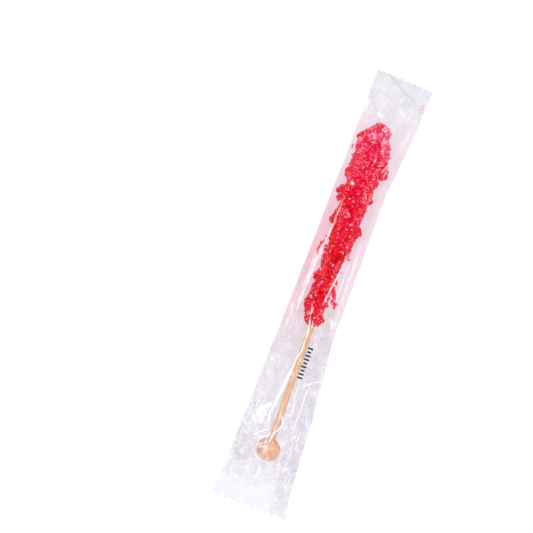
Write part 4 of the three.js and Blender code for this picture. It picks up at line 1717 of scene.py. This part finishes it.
    def dress(self, piece: bpy.types.Object, is_front: np.ndarray, is_fin: bool) -> None:
        """Stores what the film's finish reads, and makes the piece part of the pack."""
        places = np.zeros(len(piece.data.vertices) * 3)
        piece.data.vertices.foreach_get("co", places)
        inverse = np.array(self.lay.pack_matrix().inverted())
        across, along, _ = (places.reshape(-1, 3) @ inverse[:3, :3].T + inverse[:3, 3]).T
        station = self.lay.length / 2 - along
        on_left = np.clip((self.left_from - across) / self.left_run, 0, 1)
        # the pink tint of painted red light from the candy
        candy_light = self.right_candy_light.at(station) * (1 - on_left) + self.left_candy_light.at(station) * on_left
        veil = self.right_veil.at(station) * (1 - on_left) + self.left_veil.at(station) * on_left
        veil = np.full(station.shape, self.fin_veil) if is_fin else veil
        creased = across > self.right_edge.at(station) if is_fin else is_front
        # white takes the frost and the creases' painted highlights, dark the creases' painted shade
        white, dark = self.frost.at(station), np.zeros(station.shape)
        wander = [noise.noise(Vector((s * 0.35, x * 0.2, 2.5))) for s, x in zip(station, across)]
        strayed = across + self.drift * np.array(wander)
        for crease in self.creases:
            tone = crease.tone(station, strayed) * creased
            white, dark = np.maximum(white, tone), np.maximum(dark, -tone)
        contact = self.contact(station, across, is_fin)
        for name, numbers in (
            ("crumple", self.crumple.at(station)), ("candy_light", candy_light), ("white", white), ("dark", dark),
            ("veil", veil), ("contact", contact),
        ):
            store_numbers(piece, name, numbers)
        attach(piece, BODY)

    def build(self, contents: list[bpy.types.Object]) -> list[bpy.types.Object]:
        """Makes the film round the contents and puts it in place of the plain wrapper."""
        film = FilmFinish().material()
        place = self.lay.pack_matrix()
        shape, is_front = self.sleeve(solid_of(contents))
        sleeve = finish_mesh("film_sleeve", mesh_of(shape), place, film)
        self.dress(sleeve, is_front, False)
        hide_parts("wrapper")
        fin = finish_mesh("film_fin", mesh_of(self.fin(solid_of([sleeve]))), place, film)
        self.dress(fin, np.zeros(len(fin.data.vertices)), True)
        return [sleeve, fin]


# ---- Print -----------------------------------------------------------------------------------


@dataclass(frozen=True)
class Stroke:
    """A plain printed dash: the place of its middle, its size and its turn seen from above."""

    station: float
    across: float
    width: float
    length: float
    degrees: float = 0.0


@dataclass
class Print:
    """Plain printed marks on the film: a row of dark ticks, and pink dashes by the edges."""

    lay: Lay
    ink_thickness: float = 0.03
    patch_rows: int = 7
    patch_columns: int = 3
    first_tick: float = 142.4
    tick_step: float = 1.92
    tick_lengths: tuple[float, ...] = (2.8, 2.0, 2.8, 2.8, 2.0, 2.8, 2.0, 2.8, 2.8)
    tick_width: float = 0.9
    tick_across: float = 2.35
    dashes: tuple[Stroke, ...] = (
        Stroke(12.0, 12.9, 0.7, 2.0, -52), Stroke(10.2, 12.6, 0.45, 1.4, -30),
        Stroke(13.2, 13.5, 0.5, 1.0, -70), Stroke(10.9, 11.0, 0.35, 0.9, -40),
        Stroke(220.2, 13.2, 0.4, 0.9, 30), Stroke(222.6, 14.3, 0.4, 0.8, -20),
        Stroke(217.6, 13.9, 0.35, 0.7, 60),
    )

    def patch(self, shape: bmesh.types.BMesh, film: BVHTree, stroke: Stroke) -> None:
        """Lays one dash on the film."""
        place = self.lay.pack_matrix()
        turn = Matrix.Rotation(math.radians(stroke.degrees), 2)
        rows = []
        for v in np.linspace(-0.5, 0.5, self.patch_rows):
            row = []
            for u in np.linspace(-0.5, 0.5, self.patch_columns):
                x, y = turn @ Vector((u * stroke.width, v * stroke.length))
                above = place @ Vector((stroke.across + x, self.lay.y(stroke.station) + y, ABOVE_ALL))
                hit = film.ray_cast(above, Vector((0, 0, -1)))[0]
                row.append(place.inverted() @ hit + Vector((0, 0, self.ink_thickness)))
            rows.append(row)
        lay_grid(shape, np.array(rows))

    def piece(self, name: str, film: BVHTree, strokes: list[Stroke], ink: InkFinish) -> bpy.types.Object:
        """Makes the dashes of one ink as one piece."""
        shape = bmesh.new()
        for stroke in strokes:
            self.patch(shape, film, stroke)
        bmesh.ops.recalc_face_normals(shape, faces=shape.faces)
        bmesh.ops.solidify(shape, geom=shape.faces[:], thickness=0.5 * self.ink_thickness)
        bmesh.ops.recalc_face_normals(shape, faces=shape.faces)
        piece = finish_mesh(name, mesh_of(shape), self.lay.pack_matrix(), ink.material())
        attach(piece, BODY)
        return piece

    def build(self, film_pieces: list[bpy.types.Object]) -> list[bpy.types.Object]:
        """Makes the ticks and the dashes on the film."""
        film = solid_of(film_pieces)
        ticks = [
            Stroke(self.first_tick + number * self.tick_step, self.tick_across, self.tick_width, length, 90)
            for number, length in enumerate(self.tick_lengths)
        ]
        return [
            self.piece("print_ticks", film, ticks, InkFinish("dark ink", (0.012, 0.012, 0.016))),
            self.piece("print_dashes", film, list(self.dashes), InkFinish("pink ink", (0.90, 0.22, 0.42))),
        ]


# ---- Studio ----------------------------------------------------------------------------------


@dataclass(frozen=True)
class Softbox:
    """A soft light above the pack, aimed at a place on it."""

    name: str
    where: tuple[float, float, float]
    aim: tuple[float, float, float]
    size: tuple[float, float]
    power: float
    glints: bool = True

    def build(self) -> None:
        """Adds the light, unseen by the camera, and by gloss too unless it is there for glints."""
        data = bpy.data.lights.new(self.name, "AREA")
        data.shape = "RECTANGLE"
        data.size, data.size_y = self.size
        data.energy = self.power
        light = bpy.data.objects.new(self.name, data)
        light.location = self.where
        towards = Vector(self.aim) - Vector(self.where)
        light.rotation_euler = towards.to_track_quat("-Z", "Y").to_euler()
        light.visible_camera = False
        light.visible_glossy = self.glints
        bpy.context.scene.collection.objects.link(light)


@dataclass
class Studio:
    """The table, the lights and the camera, in metres."""

    turn: float = 20.4
    frame_width: float = 0.2638
    centre: tuple[float, float] = (-0.0330, 0.0016)
    mid_height: float = 0.006
    lens: float = 135.0
    sensor: float = 36.0
    table_size: float = 3.0
    eye_level: float = 0.45
    horizon: float = 0.55
    zenith: float = 0.98
    overhead: float = 0.03
    softboxes: tuple[Softbox, ...] = (
        Softbox("overhead light", (0.0, 0.0, 1.4), (0, 0, 0), (1.4, 1.4), 26.0, glints=False),
        Softbox("left light", (-0.75, 0.0, 0.80), (0, 0, 0), (0.9, 0.05), 1.2),
        Softbox("right light", (0.75, 0.0, 0.80), (0, 0, 0), (0.9, 0.05), 1.2),
    )

    def build_table(self) -> None:
        """Lays the table just under the pack."""
        shape = bmesh.new()
        bmesh.ops.create_grid(shape, x_segments=1, y_segments=1, size=self.table_size / MM)
        table = finish_mesh("table", mesh_of(shape), Matrix.Scale(MM, 4), TableFinish().material())

    def build_surround(self) -> None:
        """Sets a soft surround, white at eye level and darker overhead."""
        world = bpy.data.worlds.new("studio")
        world.use_nodes = True
        bpy.context.scene.world = world
        tree = world.node_tree
        background = tree.nodes["Background"]
        where = tree.nodes.new("ShaderNodeTexCoord")
        split = tree.nodes.new("ShaderNodeSeparateXYZ")
        ramp = tree.nodes.new("ShaderNodeValToRGB")
        stops = ((self.eye_level, self.horizon), (self.zenith, self.overhead))
        for element, (height, light) in zip(ramp.color_ramp.elements, stops):
            element.position = height
            element.color = (light, light, light, 1.0)
        tree.links.new(where.outputs["Generated"], split.inputs[0])
        tree.links.new(split.outputs["Z"], ramp.inputs[0])
        tree.links.new(ramp.outputs["Color"], background.inputs["Color"])

    def build_camera(self) -> None:
        """Looks straight down, with the pack's candy end turned to the upper right."""
        data = bpy.data.cameras.new("camera")
        data.sensor_width = self.sensor
        data.lens = self.lens
        camera = bpy.data.objects.new("camera", data)
        height = self.mid_height + self.frame_width * self.lens / self.sensor
        camera.location = (*self.centre, height)
        camera.rotation_euler = (0, 0, math.radians(self.turn))
        bpy.context.scene.collection.objects.link(camera)
        bpy.context.scene.camera = camera

    def build(self) -> None:
        """Sets everything up."""
        bpy.context.scene.view_settings.view_transform = "Standard"
        self.build_camera()
        self.build_table()
        self.build_surround()
        for softbox in self.softboxes:
            softbox.build()


def main() -> None:
    """Builds the stage, then the candy, the stick and the wrapper round them."""
    logging.basicConfig(level=logging.INFO, format="%(name)s: %(message)s")
    lay = Lay()
    Studio().build()
    candy = Candy(lay).build()
    stick = SwizzleStick(lay).build()
    wrapper = Wrapper(lay).build(candy + stick)
    marks = Print(lay).build(wrapper)
    for piece in candy + stick + wrapper + marks:
        log.info("%s rides on %s", piece.name, BODY)


if __name__ == "__main__":
    main()
